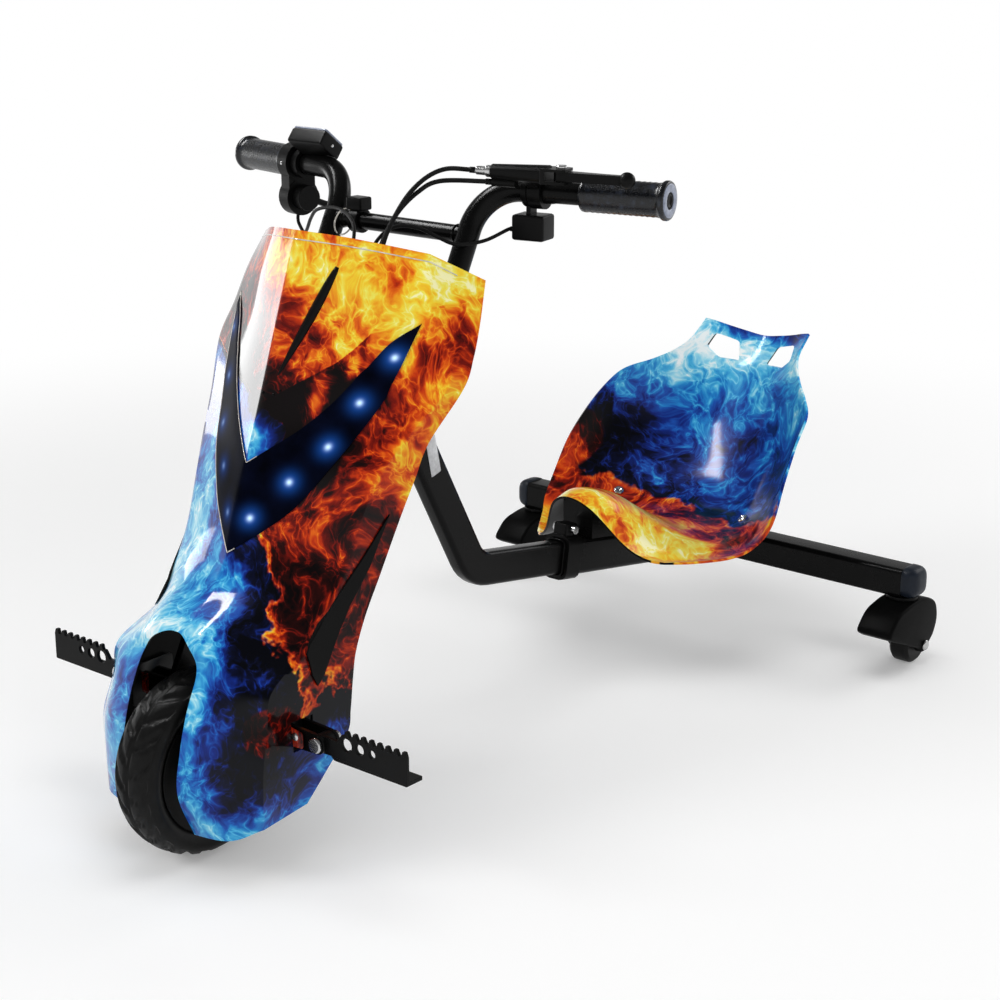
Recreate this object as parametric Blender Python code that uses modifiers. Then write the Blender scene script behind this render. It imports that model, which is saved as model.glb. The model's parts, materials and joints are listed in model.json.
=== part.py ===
"""Electric three-wheel drift scooter: driven front wheel, raked steering column, bucket seat, two casters.

Metres, +Z up. The rider faces -Y and the rider's left is +X. Heights start at the floor.
Rear sizes are measured from the rear beam, and steering sizes from the front axle.
"""
from math import acos, cos, pi, radians, sin, sqrt, tan

import bmesh
import bpy
from mathutils import Matrix, Vector

# Layout
WHEELBASE = 0.898
BEAM_HEIGHT = 0.1115
RAKE = radians(27.0)
SLEEVE_SLOPE = radians(9.0)
DOWN_TUBE_SLOPE = radians(61.4)
HEAD_DISTANCE = 0.3995
NECK_LENGTH = 0.1414
SEAT_TAIL = 0.1203

# Clearances
GAP = 0.0003
RUNNING_GAP = 0.0005
SKIN_GAP = 0.0005
OVERSHOOT = 0.02
SEAM = 0.0004
MERGE = 0.0001

# Front wheel
TYRE_RADIUS = 0.096
TYRE_HALF_WIDTH = 0.0285
HUB_RADIUS = 0.066
HUB_HALF_WIDTH = 0.036
HUB_LIP = 0.0032
TYRE_SHOULDER = 0.010
TREAD_HALF = 0.009
BEAD_HALF = 0.020
AXLE_RADIUS = 0.006
AXLE_HALF_LENGTH = 0.080
NUT_FLATS = 0.019
NUT_THICKNESS = 0.009

# Fork and head
LEG_OFFSET = 0.0575
LEG_THICKNESS = 0.008
LEG_WIDTH = 0.032
LEG_END_RADIUS = 0.017
LEG_END_RISE = 0.050
CROWN_START = 0.325
CROWN_THICKNESS = 0.012
CROWN_DEPTH = 0.044
CROWN_CORNER = 0.010
HEAD_LENGTH = 0.110
HEAD_RADIUS = 0.019
HEAD_WALL = 0.003
STEERER_RADIUS = 0.0127
STEERER_WALL = 0.0025
BEARING_FLANGE = 0.007
BEARING_CUP = 0.012
BEARING_BRIM = 0.001
YOKE_THICKNESS = 0.022
YOKE_EDGE = 0.011
YOKE_FRONT = 0.028
YOKE_REAR = 0.030
STEERER_TOP = 0.006

# Handlebar
RISER_OFFSET = 0.094
RISER_SETBACK = 0.045
RISER_RADIUS = 0.012
BAR_RADIUS = 0.0111
BAR_HEIGHT = 0.640
BAR_END = 0.291
BAR_SWEEP = radians(12.0)
BAR_BEND = 0.050
CROSS_DROP = 0.046
CROSS_RADIUS = 0.009
GRIP_LENGTH = 0.092
GRIP_RADIUS = 0.0172
GRIP_FLANGE = 0.0196
GRIP_END_WALL = 0.004
GRIP_END_HOLE = 0.0045

# Brake lever and switch on the left, throttle and display on the right
PERCH_PLACE = 0.158
PERCH_WIDTH = 0.014
PERCH_FORWARD = 0.036
PERCH_RISE = 0.022
PERCH_BARREL = 0.0075
PERCH_WALL = 0.0055
PERCH_INNER = 0.034
PERCH_OUTER = 0.027
LEVER_PLACE = 0.040
LEVER_LENGTH = 0.070
LEVER_THICKNESS = 0.009
LEVER_BALL = 0.0078
PIVOT_RADIUS = 0.0025
PIVOT_HEAD = 0.0055
ADJUSTER_RADIUS = 0.0045
ADJUSTER_LENGTH = 0.018
CUTOFF_DROP = 0.0105
CUTOFF_LENGTH = 0.026
FORK_CHEEK = 0.003
CABLE_RADIUS = 0.0024
WIRE_RADIUS = 0.0019
CORD_STEP = 0.017
BRAKE_ARM_THICKNESS = 0.004
BRAKE_ARM_BACK = 0.040
BRAKE_ARM_UP = 0.045
ARM_RING = 0.013
ARM_EYE = 0.0055
SWITCH_PLACE = 0.150
SWITCH_DROP = 0.036
SWITCH_BAND_SHIFT = 0.0035
SWITCH_BAND_WIDTH = 0.006
SWITCH_BAND_WALL = 0.004
SWITCH_SIZE = Vector((0.036, 0.028, 0.026))
BUTTON_RADIUS = 0.0055
BUTTON_TRAVEL = 0.002
BUTTON_WELL = 0.006
THROTTLE_PLACE = 0.194
THROTTLE_WIDTH = 0.018
THROTTLE_DROP = 0.038
THROTTLE_RADIUS = 0.0225
THUMB_HUB = 0.014
THUMB_LENGTH = 0.046
THUMB_PIN = 0.005
THUMB_INSET = 0.003
THUMB_REST = radians(20.0)
THUMB_WIDTH = 0.013
THUMB_THICKNESS = 0.007
DISPLAY_SIZE = Vector((0.052, 0.034, 0.018))
DISPLAY_BAND = 0.010
DISPLAY_WALL = 0.0045
DISPLAY_TILT = radians(38.0)
DISPLAY_RISE = 0.012
KEY_SIZE = Vector((0.022, 0.018, 0.014))
KEY_PLACE = -0.058
KEY_BAND = 0.012
KEY_WALL = 0.004

# Column shell, drawn as half a net and mirrored
SHELL_WALL = 0.003
LENS_THICKNESS = 0.002
SLOT_HALF_WIDTH = 0.041
SLOT_TOP = 0.239
SLOT_REACH = 0.150
SLOT_SETBACK = 0.045
NET_STEPS = 2
LENS_REACH = 0.400
VENT_SIDE = 0.130
VENT_REACH = 0.080

# Foot pegs
PEG_HEIGHT = 0.145
PEG_BEHIND_AXLE = 0.032
PEG_HINGE = 0.145
PEG_TIP = 0.257
PEG_PLATE = 0.004
PEG_TALL = 0.034
PEG_FLANGE = 0.022
PEG_TEETH = 8
PEG_TOOTH = 0.005
PEG_TEETH_START = 0.026
PEG_LOW = -0.0125
PEG_HOLE_RISE = 0.0075
PEG_HOLES = ((0.180, 0.0140), (0.197, 0.0112), (0.213, 0.0086))
PEG_PIN_RADIUS = 0.004
PEG_EYE_RADIUS = 0.0095
PEG_FLANGE_START = 0.018
BRACKET_PLATE = 0.004
BRACKET_TALL = 0.030
BRACKET_WEB = 0.030
BRACKET_HOLE_PLACE = 0.108
BRACKET_HOLE_DEPTH = 0.060
BRACKET_HOLE_ROOM = 0.0186
CLEVIS_GAP = 0.014

# Frame tubes
TUBE_TALL = 0.040
TUBE_WIDE = 0.022
TUBE_WALL = 0.002
TUBE_CORNER = 0.006
TUBE_BEND = 0.045
TUBE_END = 0.085
SLEEVE_WALL = 0.0025
SLEEVE_FRONT = 0.335
SLEEVE_CORNER = 0.007
CLAMP_LENGTH = 0.026
CLAMP_WALL = 0.004
CLAMP_LUG = 0.016
CLAMP_BOLT_RADIUS = 0.003

# Rear beam and casters
BEAM_HALF = 0.0185
BEAM_WALL = 0.002
BEAM_CORNER = 0.006
BEAM_LENGTH = 0.592
CAP_THICKNESS = 0.010
CAP_BEVEL = 0.007
CAP_ROUND = 0.5
CAP_PLUG = 0.014
CASTER_INSET = 0.006
CASTER_PLACE = BEAM_LENGTH / 2 - CASTER_INSET
CASTER_TRAIL = 0.020
CASTER_WHEEL_RADIUS = 0.026
CASTER_WHEEL_HALF = 0.013
CASTER_AXLE_RADIUS = 0.004
HOOD_HALF = 0.024
PLATE_DROP = 0.0033
HOOD_TOP = BEAM_HEIGHT - BEAM_HALF - PLATE_DROP
HOOD_BORE = 0.0305
HOOD_ROOM = 0.002
STEM_SINK = 0.004
STEM_RADIUS = 0.006
STEM_LENGTH = 0.026
PLATE_RADIUS = 0.020
PLATE_SINK = 0.001
STEM_ROOM = 0.012

# Hood from its top round the front to the axle, then up its rear: distance behind the stem,
# and height as a share of the way from the caster's axle to the hood's top.
HOOD_FRONT = (
    (.020, 1), (-.014, 1), (-.049, .895), (-.072, .534), (-.060, .408), (-.020, .157), (-.002, .031),
)
HOOD_REAR = ((.044, .126), (.052, .455), (.046, .816))
AXLE_BOSS = 0.011

# Seat
SEAT_WALL = 0.003
SEAT_BOLT_STATION = (5, 2)
SEAT_BOLT_RADIUS = 0.003
SEAT_BOLT_HEAD = 0.007
SEAT_BOLT_LENGTH = 0.014
SEAT_SPOT = 0.0002
SEAT_ROOM = 0.020
WINDOW_PLACE = 0.090
WINDOW_REACH = 0.120
RAIL_DROP = 0.018
RAIL_RISE = 0.006
RAIL_END = 0.012
RAIL_WIDTH = 0.030
SPINE_WIDTH = 0.044
SPINE_REACH = (0.292, 0.052)
SPINE_TOP = ((-.285, .1265), (-.250, .1235), (-.225, .1145), (-.170, .0825), (-.120, .0575), (-.052, .0575))

# Electrics inside the column
BATTERY_SIZE = Vector((2 * (LEG_OFFSET - LEG_THICKNESS / 2 - GAP), 0.052, 0.115))
BATTERY_RISE = 0.022
BATTERY_CORNER = 0.006
CONTROLLER_SIZE = Vector((0.084, 0.022, 0.080))

HEAD_CENTRE = Vector((0, -WHEELBASE + HEAD_DISTANCE * sin(RAKE), TYRE_RADIUS + HEAD_DISTANCE * cos(RAKE)))
ORIGIN_TO_BEAM = (WHEELBASE + TYRE_RADIUS - SEAT_TAIL) / 2
UP_AXIS = Vector((0, sin(RAKE), cos(RAKE)))
BACK_AXIS = Vector((0, cos(RAKE), -sin(RAKE)))
AXLE = Vector((0, -WHEELBASE, TYRE_RADIUS))
BAR_DIRECTION = Vector((cos(BAR_SWEEP), sin(BAR_SWEEP), 0))


# Rows from the rim down: each has the centre crease, a point on the front facet,
# the front corner and the rear edge, as x, distance behind the front axle, and height.
SHELL_ROWS = (
    ((0, .156, .608), (.055, .176, .603), (.115, .223, .588), (.150, .266, .560)),
    ((0, .141, .565), (.062, .166, .562), (.128, .208, .552), (.158, .248, .520)),
    ((0, .125, .520), (.066, .156, .518), (.145, .202, .512), (.165, .230, .490)),
    ((0, .108, .470), (.070, .141, .470), (.164, .196, .472), (.171, .208, .464)),
    ((0, .092, .425), (.066, .123, .425), (.143, .163, .425), (.150, .180, .412)),
    ((0, .078, .387), (.062, .104, .387), (.128, .136, .387), (.140, .170, .375)),
    ((0, .064, .345), (.058, .088, .345), (.120, .116, .345), (.133, .156, .338)),
    ((0, .048, .301), (.056, .068, .300), (.116, .098, .298), (.129, .130, .285)),
    ((0, .026, .270), (.052, .040, .268), (.112, .076, .262), (.124, .113, .245)),
    ((0, -.024, .239), (.045, -.017, .237), (.108, .050, .228), (.120, .103, .210)),
    ((0, -.036, .222), (.070, -.027, .205), (.112, -.004, .198), (.118, .100, .182)),
    ((0, -.056, .178), (.072, -.042, .170), (.113, -.012, .165), (.116, .098, .150)),
    ((0, -.070, .136), (.074, -.052, .130), (.118, -.024, .125), (.114, .095, .125)),
    ((0, -.078, .096), (.076, -.054, .090), (.116, -.024, .085), (.112, .068, .095)),
    ((0, -.045, .038), (.085, -.046, .050), (.108, -.017, .058), (.110, .040, .066)),
)

# Half of the lamp lens as x and height: up the outer edge, then down the inner one.
LENS_OUTLINE = (
    (0, .301), (.030, .324), (.056, .349), (.083, .392), (.110, .447), (.120, .486), (.128, .525),
    (.106, .506), (.092, .484), (.073, .502), (.082, .468), (.066, .446), (.044, .422), (.022, .404), (0, .387),
)

# Side vent as distance behind the front axle and height.
VENT_OUTLINE = (
    (.143, .344), (.119, .296), (.095, .259), (.076, .221), (.061, .197), (.052, .189),
    (.047, .201), (.045, .222), (.052, .233), (.089, .277), (.116, .309),
)

# Seat stations from the front lip to the head rest: centre to rim, as x, y and height from the beam.
SEAT_ROWS = (
    ((0, -.303, .1225), (.030, -.296, .1095), (.060, -.271, .0665), (.080, -.255, .0495), (.098, -.241, .0445)),
    ((0, -.272, .1265), (.032, -.262, .1135), (.062, -.242, .0665), (.092, -.222, .0415), (.124, -.204, .0425)),
    ((0, -.225, .1125), (.036, -.218, .0945), (.070, -.202, .0545), (.110, -.182, .0385), (.148, -.168, .0445)),
    ((0, -.170, .0805), (.042, -.166, .0665), (.080, -.160, .0465), (.125, -.150, .0395), (.163, -.145, .0555)),
    ((0, -.120, .0555), (.046, -.120, .0495), (.090, -.120, .0445), (.138, -.120, .0515), (.170, -.120, .0785)),
    ((0, -.060, .0535), (.050, -.062, .0525), (.098, -.070, .0585), (.142, -.082, .0865), (.167, -.092, .1235)),
    ((0, -.020, .0705), (.050, -.022, .0725), (.098, -.032, .0865), (.138, -.045, .1235), (.160, -.056, .1635)),
    ((0, .015, .1005), (.048, .012, .1045), (.092, .002, .1205), (.128, -.010, .1555), (.153, -.022, .1915)),
    ((0, .042, .1335), (.045, .040, .1385), (.084, .028, .1575), (.114, .012, .1865), (.138, -.004, .2085)),
    ((0, .062, .1655), (.040, .060, .1715), (.072, .050, .1865), (.096, .036, .2065), (.113, .024, .2195)),
    ((0, .078, .1935), (.034, .076, .1985), (.058, .068, .2085), (.078, .058, .2205), (.094, .048, .2315)),
    ((0, .092, .2185), (.030, .091, .2215), (.053, .085, .2275), (.070, .076, .2365), (.083, .068, .2455)),
    ((0, .118, .2505), (.028, .115, .2545), (.050, .109, .2595), (.067, .102, .2645), (.080, .097, .2675)),
)
SEAT_WINDOW = ((.021, .2175), (.030, .2405), (.062, .2495), (.066, .2325), (.050, .2195))

# Cable routes as the photo shows them: x, distance behind the front axle, and height as a share
# of the way from the controller's top to the bar.
CABLE_ROUTES = {
    "brake_cable": (
        (.084, .284, 1.114), (.073, .268, 1.078), (.066, .250, 1.005), (.062, .234, .907),
        (.060, .218, .782), (.060, .206, .611), (.062, .194, .404), (.068, .174, .067),
    ),
    "cutoff_cable": (
        (.080, .278, 1.052), (.068, .258, 1.000), (.058, .238, .896), (.052, .222, .751),
        (.048, .206, .560), (.042, .186, .378), (.034, .163, .171),
    ),
    "switch_cable": (
        (.113, .308, .741), (.100, .281, .731), (.084, .270, .767), (.066, .260, .813),
        (.052, .244, .824), (.042, .230, .772), (.036, .214, .648), (.030, .194, .456),
        (.020, .166, .233),
    ),
    "throttle_cable": (
        (-.178, .340, .606), (-.155, .322, .648), (-.126, .300, .741), (-.098, .282, .813),
        (-.063, .270, .850), (-.028, .253, .850), (.000, .236, .803), (.010, .222, .699),
        (.008, .206, .560), (-.002, .186, .404), (-.010, .163, .223),
    ),
}
# The brake cable's way on down inside the column, with plain heights.
BRAKE_DROP = (
    (.074, .143, .380), (.078, .103, .300), (.080, .070, .235), (.074, .060, .195), (.055, .061, .160),
)
# Where each lead enters the controller, beside the middle plane.
LEAD_PLACES = {"cutoff_cable": 0.030, "switch_cable": 0.014, "throttle_cable": -0.012}
LEAD_LENGTH = 0.012
CABLE_STUB = 0.008
CABLE_END = 0.014

COLOURS = {
    "black_frame": ((0.012, 0.012, 0.014), 0.35, 0.6),
    "hub_black": ((0.014, 0.014, 0.016), 0.40, 0.6),
    "satin_black": ((0.016, 0.016, 0.018), 0.45, 0.0),
    "rubber": ((0.018, 0.018, 0.019), 0.75, 0.0),
    "grip_rubber": ((0.06, 0.065, 0.08), 0.40, 0.0),
    "steel": ((0.62, 0.63, 0.65), 0.22, 1.0),
    "cable_black": ((0.010, 0.010, 0.011), 0.40, 0.0),
    "shell_print": ((0.10, 0.22, 0.75), 0.12, 0.0),
    "seat_print": ((0.08, 0.20, 0.70), 0.12, 0.0),
    "smoked_lens": ((0.010, 0.012, 0.030), 0.05, 0.0),
    "battery_blue": ((0.03, 0.10, 0.30), 0.45, 0.0),
    "controller_grey": ((0.35, 0.36, 0.38), 0.40, 0.9),
    "red_plastic": ((0.55, 0.03, 0.02), 0.35, 0.0),
}


def clear_scene():
    for item in list(bpy.data.objects):
        bpy.data.objects.remove(item, do_unlink=True)


def collection(name):
    made = bpy.data.collections.new(name)
    bpy.context.scene.collection.children.link(made)
    return made


clear_scene()
PARTS = collection("three_wheel_scooter")
CUTTERS = collection("cutters")
MATERIALS = {}


def material(name):
    if name not in MATERIALS:
        colour, roughness, metallic = COLOURS[name]
        made = bpy.data.materials.new(name)
        made.use_nodes = True
        shader = made.node_tree.nodes["Principled BSDF"]
        shader.inputs["Base Color"].default_value = (*colour, 1.0)
        shader.inputs["Roughness"].default_value = roughness
        shader.inputs["Metallic"].default_value = metallic
        made.diffuse_color = (*colour, 1.0)
        MATERIALS[name] = made
    return MATERIALS[name]


def body_empty(name, place, parent=None):
    """An empty on a joint's axis, which carries every piece of one moving body."""
    made = bpy.data.objects.new(name, None)
    made.empty_display_size = 0.03
    PARTS.objects.link(made)
    made["place"] = tuple(place)
    if parent:
        made.parent = parent
        made.location = Vector(place) - Vector(parent["place"])
    else:
        made.location = (0, ORIGIN_TO_BEAM, 0)
    return made


def linked(name, data):
    made = bpy.data.objects.new(name, data)
    PARTS.objects.link(made)
    return made


def settle(piece, body, finish):
    """Give a piece its material and hang it on its body, where it already stands."""
    piece.parent = body
    piece.location = piece.location - Vector(body["place"])
    piece.data.materials.clear()
    piece.data.materials.append(material(finish))
    return piece


def cutter(piece, body):
    """Turn a piece into a tool for a Boolean: it stands with the body it cuts."""
    for owner in list(piece.users_collection):
        owner.objects.unlink(piece)
    CUTTERS.objects.link(piece)
    piece.display_type = "WIRE"
    piece.hide_render = True
    piece.parent = body
    piece.location = piece.location - Vector(body["place"])
    return piece


def boolean(piece, tool, operation="DIFFERENCE"):
    modifier = piece.modifiers.new(operation.lower(), "BOOLEAN")
    modifier.operation = operation
    modifier.solver = "EXACT"
    modifier.object = tool
    return piece


def turn_to(piece, direction):
    """Point the piece's own +Z along a direction."""
    piece.rotation_euler = Vector(direction).to_track_quat("Z", "Y").to_euler()
    return piece


def smooth(mesh, angle=radians(40)):
    mesh.shade_smooth()
    mesh.set_sharp_from_angle(angle=angle)


def bevelled(piece, width, segments=2, angle=radians(35)):
    modifier = piece.modifiers.new("rounded", "BEVEL")
    modifier.width = width
    modifier.segments = segments
    modifier.limit_method = "ANGLE"
    modifier.angle_limit = angle
    return piece


def block(name, size, place, bevel=0.0, direction=None):
    """A box of a real size, with rounded edges where a bevel is given."""
    mesh = bpy.data.meshes.new(name)
    work = bmesh.new()
    bmesh.ops.create_cube(work, size=1.0)
    bmesh.ops.scale(work, vec=Vector(size), verts=work.verts)
    work.to_mesh(mesh)
    work.free()
    made = linked(name, mesh)
    made.location = place
    if direction is not None:
        turn_to(made, direction)
    if bevel:
        bevelled(made, bevel)
    return made


def rod(name, radius, length, place, direction=(0, 0, 1), sides=24, far_radius=None):
    """A solid cylinder or cone, centred on its place."""
    mesh = bpy.data.meshes.new(name)
    work = bmesh.new()
    top = radius if far_radius is None else far_radius
    bmesh.ops.create_cone(work, cap_ends=True, segments=sides, radius1=radius, radius2=top, depth=length)
    work.to_mesh(mesh)
    work.free()
    smooth(mesh)
    made = linked(name, mesh)
    made.location = place
    turn_to(made, direction)
    return made


def ball(name, radius, place, sides=16):
    mesh = bpy.data.meshes.new(name)
    work = bmesh.new()
    bmesh.ops.create_uvsphere(work, u_segments=sides, v_segments=sides // 2, radius=radius)
    work.to_mesh(mesh)
    work.free()
    mesh.shade_smooth()
    made = linked(name, mesh)
    made.location = place
    return made


def turned(name, profile, place, direction=(0, 0, 1), steps=32, ring=False):
    """A turned piece: its profile runs down the outer side, and a ring's closes on itself."""
    mesh = bpy.data.meshes.new(name)
    count = len(profile)
    edges = [(i, i + 1) for i in range(count - 1)]
    if ring:
        edges.append((count - 1, 0))
    mesh.from_pydata([(radius, 0, height) for radius, height in profile], edges, [])
    made = linked(name, mesh)
    screw = made.modifiers.new("turn", "SCREW")
    screw.steps = steps
    screw.render_steps = steps
    screw.use_merge_vertices = True
    screw.merge_threshold = MERGE
    screw.use_smooth_shade = True
    made.location = place
    turn_to(made, direction)
    return made


def pipe(name, inner, outer, low, high, place, direction=(0, 0, 1), steps=32):
    """A straight sleeve along its own axis between two heights."""
    profile = ((inner, high), (outer, high), (outer, low), (inner, low))
    return turned(name, profile, place, direction, steps, ring=True)


def plate(name, outlines, thickness, matrix):
    """A flat plate: the first outline is its edge and the others are holes in it."""
    curve = bpy.data.curves.new(name, "CURVE")
    curve.dimensions = "2D"
    curve.fill_mode = "BOTH"
    curve.extrude = thickness / 2
    for outline in outlines:
        spline = curve.splines.new("POLY")
        spline.points.add(len(outline) - 1)
        for point, (across, up) in zip(spline.points, outline):
            point.co = (across, up, 0, 1)
        spline.use_cyclic_u = True
    made = linked(name, curve)
    made.matrix_world = matrix
    return as_mesh(made)


def as_mesh(piece):
    """The curve as a mesh whose caps are joined to its sides."""
    bpy.context.view_layer.update()
    graph = bpy.context.evaluated_depsgraph_get()
    mesh = bpy.data.meshes.new_from_object(piece.evaluated_get(graph))
    work = bmesh.new()
    work.from_mesh(mesh)
    bmesh.ops.remove_doubles(work, verts=work.verts, dist=MERGE / 10)
    work.to_mesh(mesh)
    work.free()
    smooth(mesh)
    name = piece.name
    place = piece.matrix_world.copy()
    bpy.data.objects.remove(piece, do_unlink=True)
    made = linked(name, mesh)
    made.matrix_world = place
    return made


def plane(origin, across, up):
    """A matrix whose X and Y run along two directions, with Z square to them."""
    x = Vector(across).normalized()
    z = x.cross(Vector(up)).normalized()
    y = z.cross(x)
    rotation = Matrix((x, y, z)).transposed().to_4x4()
    return Matrix.Translation(Vector(origin)) @ rotation


def arc(centre, radius, start, end, steps):
    """Points on an arc, both ends included."""
    return [(centre[0] + radius * cos(start + (end - start) * i / steps),
             centre[1] + radius * sin(start + (end - start) * i / steps)) for i in range(steps + 1)]


def circle(centre, radius, sides=20):
    return arc(centre, radius, 0, 2 * pi * (sides - 1) / sides, sides - 1)


def rounded_rectangle(half_x, half_y, corner, steps=3):
    """A rectangle's outline with round corners, counter-clockwise."""
    outline = []
    for turn, (sx, sy) in enumerate(((1, 1), (-1, 1), (-1, -1), (1, -1))):
        centre = (sx * (half_x - corner), sy * (half_y - corner))
        outline += arc(centre, corner, turn * pi / 2, (turn + 1) * pi / 2, steps)
    return outline


def filleted(corners, radius, steps=6):
    """The straight runs between corners, with an arc of one radius at each inner corner."""
    points = [Vector(corners[0])]
    for before, corner, after in zip(corners, corners[1:], corners[2:]):
        corner = Vector(corner)
        back = (Vector(before) - corner).normalized()
        ahead = (Vector(after) - corner).normalized()
        half = acos(max(-1.0, min(1.0, back.dot(ahead)))) / 2
        reach = radius / tan(half)
        centre = corner + (back + ahead).normalized() * (radius / sin(half))
        start = corner + back * reach - centre
        end = corner + ahead * reach - centre
        sweep = start.angle(end)
        for i in range(steps + 1):
            share = i / steps
            turn = (start * sin(sweep * (1 - share)) + end * sin(sweep * share)) / sin(sweep)
            points.append(centre + turn)
    points.append(Vector(corners[-1]))
    return points


def between(p0, p1, p2, p3, t):
    """A point between p1 and p2 on the smooth curve through four points."""
    return 0.5 * (2 * p1 + (p2 - p0) * t + (2 * p0 - 5 * p1 + 4 * p2 - p3) * t * t
                  + (3 * p1 - p0 - 3 * p2 + p3) * t ** 3)


def flowing(points, spacing):
    """Points along a smooth curve through a cord's own points."""
    points = [Vector(p) for p in points]
    ends = [2 * points[0] - points[1]] + points + [2 * points[-1] - points[-2]]
    route = [points[0]]
    for i in range(1, len(ends) - 2):
        p0, p1, p2, p3 = ends[i - 1:i + 3]
        count = max(1, round((p2 - p1).length / spacing))
        for k in range(1, count + 1):
            route.append(between(p0, p1, p2, p3, k / count))
    return route


def tube(name, points, radius, resolution=2, shares=None):
    """A round tube with closed ends along a list of points."""
    curve = bpy.data.curves.new(name, "CURVE")
    curve.dimensions = "3D"
    curve.bevel_depth = radius
    curve.bevel_resolution = resolution
    curve.use_fill_caps = True
    spline = curve.splines.new("POLY")
    spline.points.add(len(points) - 1)
    for i, point in enumerate(points):
        spline.points[i].co = (*point, 1)
        spline.points[i].radius = shares[i] if shares else 1.0
    return linked(name, curve)


def swept(name, path, outer, inner):
    """A hollow section carried along a path in the middle plane, open at both ends."""
    path = [Vector(p) for p in path]
    mesh = bpy.data.meshes.new(name)
    work = bmesh.new()
    rings = []
    for i, point in enumerate(path):
        along = (path[min(i + 1, len(path) - 1)] - path[max(i - 1, 0)]).normalized()
        up = Vector((1, 0, 0)).cross(along)
        if 0 < i < len(path) - 1:
            step = (path[i + 1] - point).normalized()
            up = up / max(0.5, along.dot(step))
        rings.append([[work.verts.new(point + Vector((x, 0, 0)) + up * h) for x, h in section]
                      for section in (outer, inner)])
    for first, second in zip(rings, rings[1:]):
        for side, (a, b) in enumerate(zip(first, second)):
            for k in range(len(a)):
                m = (k + 1) % len(a)
                face = (a[k], b[k], b[m], a[m])
                work.faces.new(face if side == 0 else face[::-1])
    for ring in (rings[0], rings[-1]):
        a, b = ring
        for k in range(len(a)):
            m = (k + 1) % len(a)
            face = (a[k], a[m], b[m], b[k])
            work.faces.new(face if ring is rings[0] else face[::-1])
    bmesh.ops.recalc_face_normals(work, faces=work.faces)
    work.to_mesh(mesh)
    work.free()
    smooth(mesh)
    return linked(name, mesh)


def finer(points, steps, mirrored=False, straight_from=None):
    """More points on the curve through a row; past straight_from the runs stay straight."""
    points = [Vector(p) for p in points]
    before = Vector((-points[1].x, points[1].y, points[1].z)) if mirrored else 2 * points[0] - points[1]
    row = [before] + points + [2 * points[-1] - points[-2]]
    out = [points[0]]
    for i in range(1, len(points)):
        for k in range(1, steps + 1):
            t = k / steps
            if straight_from is not None and i > straight_from:
                out.append(row[i].lerp(row[i + 1], t))
            elif straight_from is not None and i == straight_from:
                out.append(between(row[i - 1], row[i], row[i + 1], 2 * row[i + 1] - row[i], t))
            else:
                out.append(between(row[i - 1], row[i], row[i + 1], row[i + 2], t))
    return out


def net(rows, along, across, mirrored=False, straight_from=None):
    """A finer grid of points through the rows of a coarse one."""
    columns = [finer([row[j] for row in rows], along) for j in range(len(rows[0]))]
    return [finer([column[i] for column in columns], across, mirrored, straight_from)
            for i in range(len(columns[0]))]


def half_sheet(name, grid, flip):
    """An open sheet over a grid of points, mirrored about the middle plane.

    Triangles, so that every layer made from the same grid folds along the same lines.
    """
    mesh = bpy.data.meshes.new(name)
    work = bmesh.new()
    verts = [[work.verts.new(p) for p in row] for row in grid]
    for i in range(len(grid) - 1):
        for j in range(len(grid[0]) - 1):
            a, b, c, d = verts[i][j], verts[i][j + 1], verts[i + 1][j + 1], verts[i + 1][j]
            for face in ((a, b, c), (a, c, d)):
                work.faces.new(face[::-1] if flip else face)
    work.to_mesh(mesh)
    work.free()
    smooth(mesh)
    made = linked(name, mesh)
    mirror = made.modifiers.new("mirror", "MIRROR")
    mirror.merge_threshold = MERGE
    return made


def thickened(piece, thickness, offset=-1.0):
    modifier = piece.modifiers.new("wall", "SOLIDIFY")
    modifier.thickness = thickness
    modifier.offset = offset
    modifier.use_even_offset = True
    return piece


def steering_point(across, back, along):
    """A place measured from the front axle along the steering axis and square to it."""
    return AXLE + Vector((across, 0, 0)) + BACK_AXIS * back + UP_AXIS * along


CONTROLLER_TOP = steering_point(0, -(CROWN_DEPTH / 2 + CONTROLLER_SIZE.y / 2 + GAP),
                                CROWN_START + CROWN_THICKNESS + CONTROLLER_SIZE.z / 2)


def bar_point(side, reach, forward=0.0, rise=0.0):
    """A place on the handlebar's grip line: reach is its x, forward and rise are off the bar."""
    corner = handlebar_corner()
    on_bar = corner + BAR_DIRECTION * ((reach - RISER_OFFSET) / BAR_DIRECTION.x)
    ahead = Vector((BAR_DIRECTION.y, -BAR_DIRECTION.x, 0))
    place = on_bar + ahead * forward + Vector((0, 0, rise))
    return Vector((side * place.x, place.y, place.z))


def handlebar_corner():
    """Where the riser's line meets the grip's line."""
    along = (BAR_HEIGHT - TYRE_RADIUS + RISER_SETBACK * sin(RAKE)) / cos(RAKE)
    return steering_point(RISER_OFFSET, RISER_SETBACK, along)


def bar_axis(side):
    return Vector((side * BAR_DIRECTION.x, BAR_DIRECTION.y, 0))


def yoke_bottom():
    return HEAD_DISTANCE + HEAD_LENGTH / 2 + BEARING_FLANGE + 2 * GAP


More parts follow.
